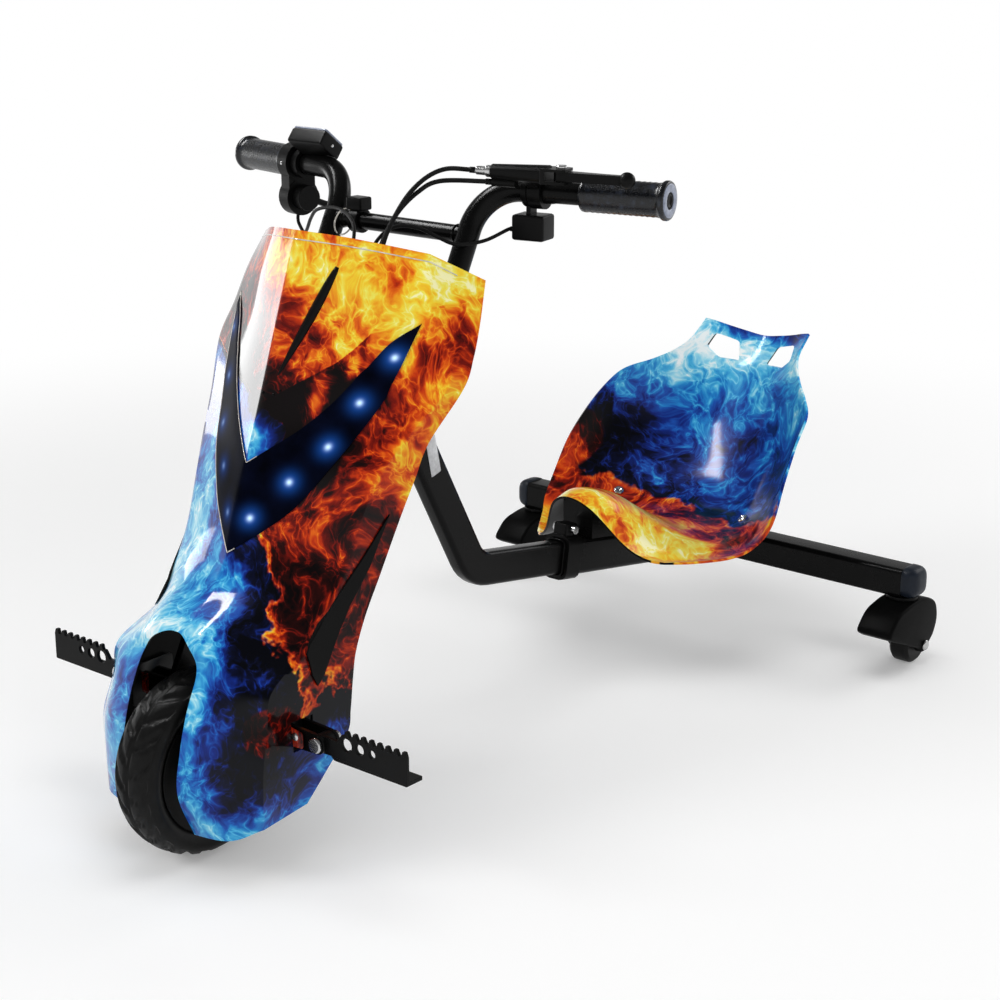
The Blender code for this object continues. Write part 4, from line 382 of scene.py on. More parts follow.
class Paint(Tree):
    """A material whose shader is fed by textures, ramps and soft spots."""

    def __init__(self, name):
        super().__init__(bpy.data.materials.new(name))
        self.shader = self.tree.nodes["Principled BSDF"]
        self.x, self.y, self.z = self.parts(self.place)

    def set(self, **values):
        """Fixed values and links of the shader itself, with _ in place of spaces."""
        self.feed(self.shader, {name.replace("_", " "): value for name, value in values.items()})
        return self.owner

    def facing(self, way, spread=None):
        """1 where the surface faces along way; spread is the share of x that counts on either side."""
        normal = self.coordinates["Normal"]
        result = self.vector("DOT_PRODUCT", normal, way)
        if spread is not None:
            outward = self.times(self.parts(normal)[0], self.calc("SIGN", self.x))
            result = self.line(outward, spread, result)
        return self.step(result, -.02, .02)

    def noise(self, scale, detail=2.0, roughness=0.5, at=None, colour=False):
        inputs = {"Vector": self.place if at is None else at, "Scale": scale, "Detail": detail,
                  "Roughness": roughness}
        return self.node("TexNoise", inputs).outputs["Color" if colour else "Fac"]

    def ramp(self, value, stops):
        node = self.node("ValToRGB", {0: value})
        elements = node.color_ramp.elements
        for element, (position, colour) in zip(elements, (stops[0], stops[-1])):
            element.position = position
            element.color = colour
        for position, colour in stops[1:-1]:
            elements.new(position).color = colour
        return node.outputs["Color"]

    def curve(self, value, points):
        """A number that follows another through a list of value pairs, joined by straight runs."""
        low, high = points[0][0], points[-1][0]
        least = min(result for _, result in points)
        most = max(result for _, result in points)
        share = self.line(value, 1 / (high - low), -low / (high - low), clamp=True)
        stops = [((x - low) / (high - low), grey((result - least) / (most - least))) for x, result in points]
        return self.line(self.ramp(share, stops), most - least, least)

    def mix(self, share, a, b):
        return self.node("Mix", {0: share, 6: a, 7: b}, data_type="RGBA").outputs[2]

    def glow(self, centre, radii, strength=1.0):
        """A soft spot: strength at its centre, fading as a bell curve over its radii."""
        scale = tuple(1 / r for r in radii)
        offset = tuple(-c / r for c, r in zip(centre, radii))
        near = self.vector("MULTIPLY_ADD", self.place, scale, offset)
        distance = self.times(self.vector("DOT_PRODUCT", near, near), -1.0)
        return self.times(self.calc("EXPONENT", distance), strength)

    def glows(self, spots):
        """The sum of soft spots, each as x, z, its radii and its strength, whatever the depth."""
        return self.total(*[self.glow((x, 0, z), (wide, 99.0, tall), strength)
                            for x, z, wide, tall, strength in spots])

    def relief(self, height, distance, strength=1.0):
        inputs = {"Height": height, "Distance": distance, "Strength": strength}
        return self.node("Bump", inputs).outputs["Normal"]


FIRE = tuple((at, linear(code)) for at, code in (
    (.0, "080304"), (.16, "2a0706"), (.30, "7a150b"), (.43, "c8380f"), (.55, "e96c18"), (.66, "f4a622"),
    (.78, "f7d236"), (.90, "f5ea62"), (1.0, "fdf8bc")))
ICE = tuple((at, linear(code)) for at, code in (
    (.0, "02030a"), (.16, "070d2c"), (.32, "122a80"), (.46, "1c54b4"), (.58, "2489d2"),
    (.70, "4ebbe8"), (.84, "a2e4f6"), (1.0, "f4feff")))


def curled(paint, place, scale, reach):
    """A place pushed about by coarse noise."""
    push = paint.vector("SUBTRACT", paint.noise(scale, 1.0, at=place, colour=True), (.5, .5, .5))
    return paint.vector("MULTIPLY_ADD", push, (reach,) * 3, place)


def tongues(paint, scale):
    """A number about 0 that runs along curling flame and smoke shapes."""
    place = curled(paint, curled(paint, paint.place, scale * .42, 1.7 / scale), scale * 1.7, .8 / scale)
    tall = paint.vector("MULTIPLY", place, (1, 1, .72))
    result = paint.line(paint.noise(scale, 7.0, .62, at=tall), 3.1, -1.66)
    for fineness, sharpness, strength in ((1.3, 9.0, .42), (2.9, 12.0, .34)):
        wave = paint.line(paint.noise(scale * fineness, 2.0, .5, at=tall), 2.0, -1.0)
        crest = paint.calc("SUBTRACT", 1.0, paint.calc("ABSOLUTE", wave))
        result = paint.line(paint.calc("POWER", crest, sharpness), strength, result)
    return result


def fire_and_ice(paint, fire_share, fire_level, ice_level, scale):
    """A generic flame print: warm where fire_share is 1 and cold where it is 0."""
    shapes = tongues(paint, scale)
    warm = paint.ramp(paint.line(shapes, .46, fire_level, clamp=True), FIRE)
    cold = paint.ramp(paint.line(shapes, .42, ice_level, clamp=True), ICE)
    return paint.mix(fire_share, cold, warm)


def gloss(paint, colour, printed=1.0, lacquer=.06):
    """Clear gloss over a print, with a little orange peel and fine hairlines in the lacquer; bare
    black plastic where printed is 0."""
    scuffs = paint.step(paint.noise(60.0, 6.0, .7), .62, .80)
    plastic = paint.mix(scuffs, grey(.006), grey(.014))
    peel = paint.relief(paint.noise(420.0, 2.0), .00005, .25)
    paint.set(Base_Color=paint.mix(printed, plastic, colour), Roughness=paint.line(scuffs, .08, .30))
    paint.set(Normal=peel, Coat_Normal=peel, Coat_Weight=printed, Coat_Roughness=lacquer)
    return paint.set(Coat_IOR=1.23, Specular_IOR_Level=.04)


# The shell's print. The fire's edge is x by height. Spots are x, z, their radii and their strength.
SHELL_FIRE_EDGE = ((.04, .20), (.14, .14), (.20, .108), (.26, .068), (.30, .040), (.33, .036), (.37, .046),
                   (.42, .030), (.445, -.01), (.46, -.10), (.50, -.30))
SHELL_FIRE_SPOTS = (
    (.02, .585, .13, .050, .62), (.10, .535, .07, .055, .52), (.158, .46, .035, .09, .38),
    (.140, .352, .016, .060, .38), (.05, .485, .035, .022, .26), (.118, .418, .022, .040, .04),
    (.142, .500, .016, .028, -.40), (.085, .560, .020, .014, -.18), (.115, .215, .024, .028, .22),
    (-.14, .55, .06, .09, -.10), (.085, .335, .022, .030, .04), (.150, .135, .030, .020, -.20))
SHELL_ICE_SPOTS = (
    (-.085, .29, .045, .10, .38), (-.03, .235, .06, .035, .28), (.02, .275, .04, .045, .12),
    (.048, .175, .014, .060, .36), (.058, .090, .016, .040, .28), (.098, .128, .036, .050, -.34),
    (.085, .056, .060, .018, .36), (-.10, .14, .05, .07, .24), (-.05, .12, .012, .08, .22))
# Wisps of the print that stay bright inside the band of painted shade
BAND_FIRE_SPOTS = ((.052, .447, .012, .026, .95), (.079, .483, .008, .014, .70))
BAND_ICE_SPOTS = ((.006, .408, .028, .026, .56), (-.02, .43, .03, .03, .20))


def make_shell_print():
    """Fire above and on the near side, ice below and on the far side, painted shade over the lens."""
    paint = Paint("shell_print_finish")
    ragged = paint.line(paint.noise(16.0, 4.0, .6), .09, -.045)
    patches = paint.line(paint.noise(9.0, 2.0, .5), 1.5, -.75)
    lead = paint.calc("SUBTRACT", paint.total(paint.x, ragged), paint.curve(paint.z, SHELL_FIRE_EDGE))
    scorch = paint.glow((.112, AXLE.y - .005, .160), (.024, .035, .028))
    scorched = paint.step(paint.line(ragged, 5.0, scorch), .42, .52)
    fire_share = paint.calc("MAXIMUM", paint.step(lead, -.002, .002), scorched)
    bright_rim = paint.times(paint.step(lead, .008, .001), paint.step(lead, -.004, .001), .34)
    dark_rim = paint.times(paint.step(lead, -.030, -.010), paint.step(lead, .004, -.002), -.34)
    warm = paint.total(paint.glows(SHELL_FIRE_SPOTS), paint.times(patches, .24), paint.times(scorch, -.16),
                       bright_rim, .08)
    near_flank = paint.glow((.116, AXLE.y + .065, .115), (.020, .040, .030), .34)
    cold = paint.total(paint.glows(SHELL_ICE_SPOTS), near_flank, paint.times(patches, .16), dark_rim, .30)
    aside = paint.calc("ABSOLUTE", paint.x)
    # Painted shade: both prints are darkened between the lens and the upper panel's edge, save a few wisps.
    below = paint.step(paint.calc("SUBTRACT", paint.z, paint.curve(aside, PANEL_EDGE)), .001, -.001)
    band = paint.times(below, paint.step(paint.z, .36, .385), paint.step(aside, .090, .082))
    fire_in_shade = paint.calc("SUBTRACT", paint.glows(BAND_FIRE_SPOTS), .46)
    blue = paint.calc("SUBTRACT", paint.glows(BAND_ICE_SPOTS), .24)
    warm = paint.total(warm, paint.times(band, fire_in_shade))
    cold = paint.total(cold, paint.times(band, blue))
    colour = fire_and_ice(paint, fire_share, warm, cold, 24.0)
    return gloss(paint, colour, paint.facing((0, -1, 0), .6))


# The seat's print: the fire's edge is distance behind the beam by x, and the ice's level goes by height.
SEAT_FIRE_EDGE = ((-.17, -.104), (-.128, -.076), (-.083, -.054), (-.02, -.050), (.07, -.070), (.134, -.096),
                  (.17, -.106))
SEAT_ICE_LEVEL = ((.15, .26), (.22, .32), (.265, .42), (.295, .58), (.318, .72), (.342, .78), (.352, .66),
                  (.362, .30), (.372, .14), (.39, .12))
SEAT_ICE_SPOTS = (
    ((-.148, -.03, .240), (.050, .09, .075), -.40), ((-.075, .11, .372), (.026, .06, .026), .50),
    ((.082, .10, .360), (.012, .06, .030), .30), ((.12, -.02, .23), (.04, .06, .04), -.10))


def make_seat_print():
    """Fire at the seat's front, blue smoke up its back, and pale frost round its windows."""
    paint = Paint("seat_print_finish")
    ragged = paint.line(paint.noise(13.0, 4.0, .6), .08, -.04)
    edge = paint.curve(paint.x, [(x, BEAM.y + y) for x, y in SEAT_FIRE_EDGE])
    lead = paint.calc("SUBTRACT", edge, paint.total(paint.y, ragged))
    wing = paint.glow((-.168, BEAM.y - .060, .225), (.030, .060, .050))
    charred = paint.step(paint.line(ragged, 5.0, wing), .40, .50)
    fire_share = paint.calc("MAXIMUM", paint.step(lead, -.003, .003), charred)
    warm = paint.total(paint.times(paint.step(lead, .015, .095), .42), .23,
                       paint.times(paint.step(lead, .012, .0), .12),
                       paint.times(paint.step(lead, .0, -.02), -.28))
    spots = [paint.glow((x, BEAM.y + y, z), radii, strength) for (x, y, z), radii, strength in SEAT_ICE_SPOTS]
    cold = paint.total(paint.curve(paint.z, SEAT_ICE_LEVEL), *spots,
                       paint.times(paint.step(lead, -.035, -.002), -.18))
    colour = fire_and_ice(paint, fire_share, warm, cold, 20.0)
    return gloss(paint, colour, paint.facing((0, 0, 1)), .11)


def make_bracket_print():
    """The dark red end of the print, on the peg bracket's foot."""
    paint = Paint("bracket_print_finish")
    return gloss(paint, paint.ramp(paint.line(tongues(paint, 30.0), .35, .20, clamp=True), FIRE))


def make_lens_finish():
    """Smoked plastic over lit blue dots, which are fainter on the far arm."""
    paint = Paint("smoked_lens_finish")
    colour = paint.ramp(paint.noise(40.0, 3.0), ((.3, linear("03040b")), (.7, linear("070b1d"))))
    core, halo = [paint.glows([(side * x, z, radius, radius, strength) for x, z in LAMP_DOTS
                               for side, strength in ((1, 1.0), (-1, .42))]) for radius in (.0034, .0095)]
    light = paint.mix(core, linear("2268d8"), linear("c4e4ff"))
    paint.set(Emission_Color=light, Emission_Strength=paint.line(halo, .48, paint.times(core, .9)))
    return paint.set(Base_Color=colour, Roughness=.34, Coat_Weight=.0, Specular_IOR_Level=.008)


def make_black_paint(name, tone, roughness, peel, specular):
    """Sprayed or moulded black: a fine grain, uneven gloss and light scuffs."""
    paint = Paint(name)
    cloud = paint.noise(22.0, 5.0, .6)
    scuffs = paint.step(paint.noise(95.0, 7.0, .75), .64, .84)
    base = paint.ramp(cloud, ((.3, grey(tone * .75)), (.7, grey(tone * 1.35))))
    colour = paint.mix(paint.times(scuffs, .5), base, grey(tone * 3.5))
    rough = paint.total(paint.line(cloud, .14, roughness - .07), paint.times(scuffs, .10))
    grain = paint.relief(paint.noise(peel, 2.0), .00012, .22)
    return paint.set(Base_Color=colour, Roughness=rough, Normal=grain, Specular_IOR_Level=specular)


def make_mottled(name, cloud, dark, pale, rough, swing=0.0, depth=0.0, strength=.3, grain=None, **shader):
    """A finish that drifts between two shades. cloud and grain are a noise's scale, detail and
    roughness, swing is how far the cloud changes the gloss, and depth is the relief's."""
    paint = Paint(name)
    drift = paint.noise(*cloud)
    if depth:
        shader["Normal"] = paint.relief(paint.noise(*grain) if grain else drift, depth, strength)
    shader["Roughness"] = paint.line(drift, swing, rough) if swing else rough
    return paint.set(Base_Color=paint.ramp(drift, ((.3, dark), (.7, pale))), **shader)


def make_rubber():
    """Tyre rubber with pale dust in its pores."""
    paint = Paint("tyre_rubber_finish")
    cloud = paint.noise(35.0, 6.0, .65)
    dust = paint.step(paint.noise(140.0, 5.0, .7), .55, .80)
    base = paint.ramp(cloud, ((.3, grey(.004)), (.75, grey(.009))))
    colour = paint.mix(paint.times(dust, .35), base, grey(.024))
    grain = paint.relief(paint.noise(900.0, 3.0), .0002, .35)
    return paint.set(Base_Color=colour, Roughness=paint.line(dust, .15, .42), Normal=grain,
                     Specular_IOR_Level=.12)


def make_grip_finish():
    """Knurled grip rubber with paler speckles that are painted glints."""
    paint = Paint("grip_finish")
    edges = paint.node("TexVoronoi", {"Vector": paint.place, "Scale": 420.0}, feature="DISTANCE_TO_EDGE")
    cloud = paint.noise(120.0, 5.0, .7)
    # Paler speckles: painted glints
    colour = paint.mix(paint.step(cloud, .50, .68), linear("07090e"), linear("232935"))
    knurl = paint.relief(edges.outputs["Distance"], .0006, .45)
    paint.set(Base_Color=colour, Roughness=paint.line(cloud, .20, .18), Normal=knurl)
    return paint.set(Specular_IOR_Level=.3, Coat_Weight=.25, Coat_Roughness=.12)


def make_steel():
    """Bright plated steel, brushed upright."""
    paint = Paint("plated_steel_finish")
    brushed = paint.noise(60.0, 4.0, .7, at=paint.vector("MULTIPLY", paint.place, (1, 1, 16)))
    colour = paint.ramp(paint.noise(90.0, 5.0, .6), ((.3, grey(.44)), (.7, grey(.66))))
    return paint.set(Base_Color=colour, Metallic=1.0, Roughness=paint.line(brushed, .18, .14),
                     Normal=paint.relief(brushed, .00008, .4))


def make_battery_wrap():
    """Creased blue film with one dark seam."""
    paint = Paint("battery_wrap_finish")
    creases = paint.noise(55.0, 6.0, .7)
    seam = paint.step(paint.calc("ABSOLUTE", paint.calc("SUBTRACT", paint.x, .012)), .0025, .0010)
    base = paint.ramp(creases, ((.3, linear("0c2a66")), (.7, linear("1d4fa6"))))
    colour = paint.mix(paint.times(seam, .5), base, linear("071a40"))
    return paint.set(Base_Color=colour, Roughness=.34, Normal=paint.relief(creases, .0012, .5))


def make_controller_metal():
    """Cast metal with cooling fins 9 mm apart, painted highlight on their crests and painted shade between."""
    paint = Paint("controller_metal_finish")
    along = paint.vector("DOT_PRODUCT", paint.place, tuple(UP_AXIS))
    fins = paint.step(paint.calc("SINE", paint.times(along, 2 * pi / .009)), -.3, .3)
    cast = paint.noise(500.0, 3.0)
    # The paler fin crests and darker troughs are painted highlight and shade.
    return paint.set(Base_Color=paint.mix(paint.times(fins, .6), grey(.20), grey(.42)), Metallic=.9,
                     Roughness=paint.line(cast, .2, .32),
                     Normal=paint.relief(paint.line(cast, .1, fins), .001, .6))


FINISH = {
    "black_frame": make_black_paint("black_frame_finish", .0030, .26, 600.0, .10),
    "hub_black": make_black_paint("hub_black_finish", .0040, .34, 350.0, .10),
    "satin_black": make_black_paint("satin_black_finish", .0034, .34, 900.0, .09),
    "caster_black": make_black_paint("caster_black_finish", .0030, .42, 900.0, .03),
    # The plugs' dark blue-grey is partly their plastic and partly a painted blue-grey sheen
    "plug_plastic": make_mottled("plug_plastic_finish", (45.0, 5.0, .65), linear("10151e"), linear("1e2530"),
                                 .36, .10, .0001, .35, (700.0, 4.0, .6), Specular_IOR_Level=.20),
    "rubber": make_rubber(),
    "grip_rubber": make_grip_finish(),
    "steel": make_steel(),
    "cable_black": make_mottled("cable_sheath_finish", (70.0, 4.0), grey(.006), grey(.014),
                                .36, .20, .0001, .3, (700.0,), Specular_IOR_Level=.06),
    "shell_print": make_shell_print(),
    "seat_print": make_seat_print(),
    "smoked_lens": make_lens_finish(),
    "battery_blue": make_battery_wrap(),
    "controller_grey": make_controller_metal(),
    "red_plastic": make_mottled("red_button_finish", (160.0, 4.0), linear("a01812"), linear("d02a1c"),
                                .32, depth=.0002, Coat_Weight=.3),
    # Painted highlight on the lens's and shell's edges, as pale beads; the pale wire loop uses it too
    "edge_highlight_and_wire": make_mottled("pale_edge_finish", (130.0, 4.0), linear("b4aea6"), linear("ebe5da"),
                              .22, depth=.0001, Coat_Weight=.5),
    # Painted highlight: the pale end rings of the grips and the display's rim
    "rim_highlight": make_mottled("grey_rubber_finish", (140.0, 5.0, .6), linear("6c7488"), linear("9ca4b8"),
                                .34, depth=.0002, Coat_Weight=.2),
    "label_paper": make_mottled("label_paper_finish", (300.0, 5.0), linear("cfd0d2"), linear("e9eaec"),
                                .45, depth=.0001),
    "dark_print": make_bracket_print(),
    # The display's dark window
    "screen": make_mottled("screen_finish", (200.0, 3.0), linear("10151c"), linear("1c252f"), .10,
                           Coat_Weight=1.0, Coat_Roughness=.03),
}


def modifier(piece, kind, name, **values):
    made = piece.modifiers.new(name, kind)
    for key, value in values.items():
        setattr(made, key, value)


def add(name, data, body, finish, slot=None, stands_for=()):
    """Link a new piece, give it its finish, and hang it on its body."""
    piece = bpy.data.objects.new(name, data)
    bpy.context.scene.collection.objects.link(piece)
    piece.data.materials.clear()
    piece.data.materials.append(FINISH[finish])
    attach(piece, body)
    slot or finish
    if stands_for:
        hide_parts(*stands_for)
    return piece


def mesh_from(name, build):
    """A mesh made by a function that fills a bmesh."""
    work = bmesh.new()
    build(work)
    bmesh.ops.recalc_face_normals(work, faces=work.faces)
    mesh = bpy.data.meshes.new(name)
    work.to_mesh(mesh)
    work.free()
    mesh.shade_smooth()
    return mesh


def soften(piece, width=.0006, segments=2, angle=35):
    """Round the edges a little, so that they catch the light."""
    modifier(piece, "BEVEL", "rounded_edges", width=width, segments=segments, limit_method="ANGLE",
             angle_limit=radians(angle))
    modifier(piece, "WEIGHTED_NORMAL", "even_shading", mode="FACE_AREA_WITH_ANGLE", keep_sharp=False)


def smooth(piece, sharp_angle):
    piece.data.shade_smooth()
    piece.data.set_sharp_from_angle(angle=radians(sharp_angle))


def applied(mesh, kind, each):
    """The mesh with one kind of modifier applied once for each set of values."""
    holder = bpy.data.objects.new("holder", mesh)
    bpy.context.scene.collection.objects.link(holder)
    for values in each:
        modifier(holder, kind, "applied", **values)
    bpy.context.view_layer.update()
    result = bpy.data.meshes.new_from_object(holder.evaluated_get(bpy.context.evaluated_depsgraph_get()))
    bpy.data.objects.remove(holder, do_unlink=True)
    return result


def cut(mesh, tools):
    """The mesh with each tool taken out of it."""
    for tool in tools:
        bpy.context.scene.collection.objects.link(tool)
    result = applied(mesh, "BOOLEAN", [{"operation": "DIFFERENCE", "solver": "EXACT", "object": tool}
                                       for tool in tools])
    for tool in tools:
        bpy.data.objects.remove(tool, do_unlink=True)
    return result


def walled(name, grid, thickness, outward):
    """A mesh over a grid of points, with a wall that lies behind its outward face."""
    mesh = mesh_from(name, lambda work: sheet(work, grid))
    faces_out = sum((face.normal for face in mesh.polygons), Vector()).dot(outward) > 0
    return applied(mesh, "SOLIDIFY", [{"thickness": thickness, "offset": -1.0 if faces_out else 1.0,
                                       "use_even_offset": True}])


def between(p0, p1, p2, p3, t):
    """A point between p1 and p2 on the smooth curve through four points."""
    return 0.5 * (2 * p1 + (p2 - p0) * t + (2 * p0 - 5 * p1 + 4 * p2 - p3) * t * t
                  + (3 * p1 - p0 - 3 * p2 + p3) * t ** 3)


def mirror(points):
    return [Vector((-p.x, p.y, p.z)) for p in points]


def finer(points, steps, mirrored=False, straight_from=None):
    """More points on the curve through a row; past straight_from the runs stay straight."""
    points = [Vector(p) for p in points]
    before = mirror(points[1:2])[0] if mirrored else 2 * points[0] - points[1]
    row = [before] + points + [2 * points[-1] - points[-2]]
    out = [points[0]]
    for i in range(1, len(points)):
        after = 2 * row[i + 1] - row[i] if i == straight_from else row[i + 2]
        for k in range(1, steps + 1):
            if straight_from is not None and i > straight_from:
                out.append(row[i].lerp(row[i + 1], k / steps))
            else:
                out.append(between(row[i - 1], row[i], row[i + 1], after, k / steps))
    return out


def whole_surface(rows, origin, along, across, **edges):
    """A finer grid over both halves of a form, whose rows run from the middle out."""
    rows = [[(x + origin[0], y + origin[1], z + origin[2]) for x, y, z in row] for row in rows]
    columns = [finer(column, along) for column in zip(*rows)]
    half = [finer(row, across, **edges) for row in zip(*columns)]
    return [mirror(reversed(row[1:])) + row for row in half]


def sheet(work, grid, close=False):
    """Four-sided faces over a grid of points; close joins each row's end to its start."""
    verts = [[work.verts.new(p) for p in row] for row in grid]
    for first, second in zip(verts, verts[1:]):
        for j in range(len(first) if close else len(first) - 1):
            k = (j + 1) % len(first)
            work.faces.new((first[j], first[k], second[k], second[j]))
    return verts


def plane(origin, across, up):
    """A matrix whose X and Y run along two directions, with Z square to them."""
    x = Vector(across).normalized()
    z = x.cross(Vector(up)).normalized()
    y = z.cross(x)
    return Matrix.Translation(Vector(origin)) @ Matrix((x, y, z)).transposed().to_4x4()


def outline_solid(name, outline, depth, matrix):
    """A flat-sided solid, as an object that isn't linked yet."""
    def build(work):
        low, high = [[work.verts.new(matrix @ Vector((x, y, z))) for x, y in outline]
                     for z in (-depth / 2, depth / 2)]
        work.faces.new(low[::-1])
        work.faces.new(high)
        for i in range(len(outline)):
            k = (i + 1) % len(outline)
            work.faces.new((low[i], low[k], high[k], high[i]))
    return bpy.data.objects.new(name, mesh_from(name, build))


def rectangle(low_x, high_x, low_y, high_y):
    return [(low_x, low_y), (high_x, low_y), (high_x, high_y), (low_x, high_y)]


def arc(centre, radius, start, end, steps):
    turns = [start + (end - start) * i / steps for i in range(steps + 1)]
    return [(centre[0] + radius * cos(turn), centre[1] + radius * sin(turn)) for turn in turns]


def rounded(corners, radius, steps=4):
    """A flat outline with its corners cut by short curves."""
    out = []
    for i, corner in enumerate(corners):
        corner = Vector(corner)
        back = Vector(corners[i - 1]) - corner
        ahead = Vector(corners[(i + 1) % len(corners)]) - corner
        a = corner + back.normalized() * min(radius, back.length * .45)
        b = corner + ahead.normalized() * min(radius, ahead.length * .45)
        for k in range(steps + 1):
            t = k / steps
            out.append(tuple(a * (1 - t) ** 2 + corner * 2 * t * (1 - t) + b * t * t))
    return out


def new_tube(name, radius, sides):
    """A round tube with closed ends, which has no run yet."""
    curve = bpy.data.curves.new(name, "CURVE")
    curve.dimensions = "3D"
    curve.bevel_depth = radius
    curve.bevel_resolution = sides
    curve.use_fill_caps = True
    return curve


def add_run(curve, points, shares=None):
    """A run of the tube through points; shares are its radius at each, as shares of the tube's."""
    spline = curve.splines.new("POLY")
    spline.points.add(len(points) - 1)
    for point, place, share in zip(spline.points, points, shares or [1.0] * len(points)):
        point.co = (*place, 1)
        point.radius = share
    spline.use_smooth = True


def tube(name, points, radius, sides):
    curve = new_tube(name, radius, sides)
    add_run(curve, points)
    return curve


def lathe(name, profile, place, direction, steps):
    """A turned mesh: the profile gives radius and distance along the axis."""
    z = Vector(direction).normalized()
    x = z.orthogonal().normalized()
    y = z.cross(x)
    turns = [2 * pi * k / steps for k in range(steps)]

    def build(work):
        rings = []
        for radius, along in profile:
            centre = Vector(place) + z * along
            if radius > 1e-6:
                ring = [work.verts.new(centre + (x * cos(turn) + y * sin(turn)) * radius) for turn in turns]
            else:
                ring = [work.verts.new(centre)] * steps
            rings.append(ring)
        for first, second in zip(rings, rings[1:]):
            for k in range(steps):
                m = (k + 1) % steps
                face = list(dict.fromkeys((first[k], second[k], second[m], first[m])))
                if len(face) > 2:
                    work.faces.new(face)
    return mesh_from(name, build)


def add_turned(name, profile, place, way, steps, *rest, **more):
    """A turned piece; what follows steps goes to add."""
    return add(name, lathe(name, profile, place, way, steps), *rest, **more)


def add_plate(name, corners, thickness, *rest):
    """A thin flat piece through corners in space; what follows thickness goes to add."""
    mesh = mesh_from(name, lambda work: work.faces.new([work.verts.new(corner) for corner in corners]))
    plate = add(name, mesh, *rest)
    modifier(plate, "SOLIDIFY", "wall", thickness=thickness, offset=0.0)
    return plate


def filleted(corners, radius, steps):
    """The straight runs between corners, with an arc of one radius at each inner corner."""
    points = [Vector(corners[0])]
    for before, corner, after in zip(corners, corners[1:], corners[2:]):
        back = (before - corner).normalized()
        ahead = (after - corner).normalized()
        half = acos(max(-1.0, min(1.0, back.dot(ahead)))) / 2
        reach = radius / tan(half)
        centre = corner + (back + ahead).normalized() * (radius / sin(half))
        start = corner + back * reach - centre
        end = corner + ahead * reach - centre
        sweep = start.angle(end)
        for i in range(steps + 1):
            share = i / steps
            turn = (start * sin(sweep * (1 - share)) + end * sin(sweep * share)) / sin(sweep)
            points.append(centre + turn)
    points.append(Vector(corners[-1]))
    return points


def flowing(points, spacing):
    """Points along a smooth curve through a cord's own points."""
    points = [Vector(p) for p in points]
    ends = [2 * points[0] - points[1]] + points + [2 * points[-1] - points[-2]]
    route = [points[0]]
    for i in range(1, len(ends) - 2):
        p0, p1, p2, p3 = ends[i - 1:i + 3]
        count = max(1, round((p2 - p1).length / spacing))
        route += [between(p0, p1, p2, p3, k / count) for k in range(1, count + 1)]
    return route


def steering_point(across, back, along):
    """A point of the steering: to the left, behind the steerer's line, and up along it."""
    return AXLE + LEFT * across + BACK_AXIS * back + UP_AXIS * along


def riser_point(across, drop=0.0):
    """A point in the plane of the risers, at the bar's height less drop."""
    along = (BAR_HEIGHT - drop - AXLE.z + RISER_SETBACK * UP_AXIS.y) / UP_AXIS.z
    return steering_point(across, RISER_SETBACK, along)


def bar_axis(side):
    return Vector((side * BAR_DIRECTION.x, BAR_DIRECTION.y, 0))


def bar_point(side, reach):
    """The bar's middle line at a distance from the scooter's middle."""
    place = riser_point(RISER_OFFSET) + BAR_DIRECTION * ((reach - RISER_OFFSET) / BAR_DIRECTION.x)
    return Vector((side * place.x, place.y, place.z))


SHELL_GRID = whole_surface(SHELL_ROWS, (0, AXLE.y, 0), 10, 12, straight_from=2)


def surface_tree(grid):
    count = len(grid[0])
    faces = [(i * count + j, i * count + j + 1, (i + 1) * count + j + 1, (i + 1) * count + j)
             for i in range(len(grid) - 1) for j in range(count - 1)]
    return BVHTree.FromPolygons([p for row in grid for p in row], faces)


SHELL_TREE = surface_tree(SHELL_GRID)


def on_shell(x, z, lift=0.0):
    """The point of the shell's front at x and height, moved out of the surface by lift."""
    place, normal = SHELL_TREE.ray_cast(Vector((x, -2.0, z)), REAR)[:2]
    if place is None:
        place, normal = SHELL_TREE.find_nearest(Vector((x, AXLE.y, z)))[:2]
    return place + (-normal if normal.y > 0 else normal) * lift


def make_shell_skin():
    """The printed column shell, its wheel slot, bracket holes, and a front edge line of painted highlight."""
    slot = arc((0, SLOT_TOP - SLOT_HALF_WIDTH), SLOT_HALF_WIDTH, 0, pi, 40)
    slot += [(-SLOT_HALF_WIDTH, SLOT_FOOT), (SLOT_HALF_WIDTH, SLOT_FOOT)]
    tools = [outline_solid("slot", slot, SLOT_DEPTH, plane((0, AXLE.y - SLOT_AHEAD, 0), LEFT, UP))]
    for name, side in SIDES.items():
        low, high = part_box(f"{name}_peg_bracket")
        hole = rectangle(low.y - BRACKET_ROOM, high.y + BRACKET_ROOM, low.z - GAP, high.z + GAP)
        wall = plane((side * BRACKET_WALL_X, 0, 0), REAR, UP)
        tools.append(outline_solid(f"{name}_hole", hole, BRACKET_HOLE_DEPTH, wall))
    solid = walled("shell_skin", SHELL_GRID, SHELL_WALL, -REAR)
    piece = add("shell_skin", cut(solid, tools), "steering", "shell_print", stands_for=("front_shell",))
    smooth(piece, 28)
    soften(piece, .0007, 2, 50)
    # The pale line is a painted highlight along the shell's edge.
    line = [on_shell(p.x, p.z, .0001) for p in SHELL_GRID[SHELL_LINE_ROW][6:-6]]
    add("shell_line", tube("shell_line", line, SHELL_LINE_RADIUS, 4), "steering", "edge_highlight_and_wire", "shell_print")


def lens_grid(across):
    """Rows of points from the lens's lower edge to its upper one, along both arms."""
    lower, upper = [finer([(x, 0, z) for x, z in edge], 5) for edge in zip(*LENS_PAIRS)]
    rows = []
    for a, b in zip(lower, upper):
        crown = LENS_CROWN * min(1.0, (b - a).length / LENS_FULL_WIDTH)
        row = []
        for k in range(across + 1):
            p = a.lerp(b, k / across)
            row.append(on_shell(p.x, p.z, crown * (1 - .55 * (2 * k / across - 1) ** 4)))
        rows.append(row)
    return [mirror(row) for row in reversed(rows[1:])] + rows


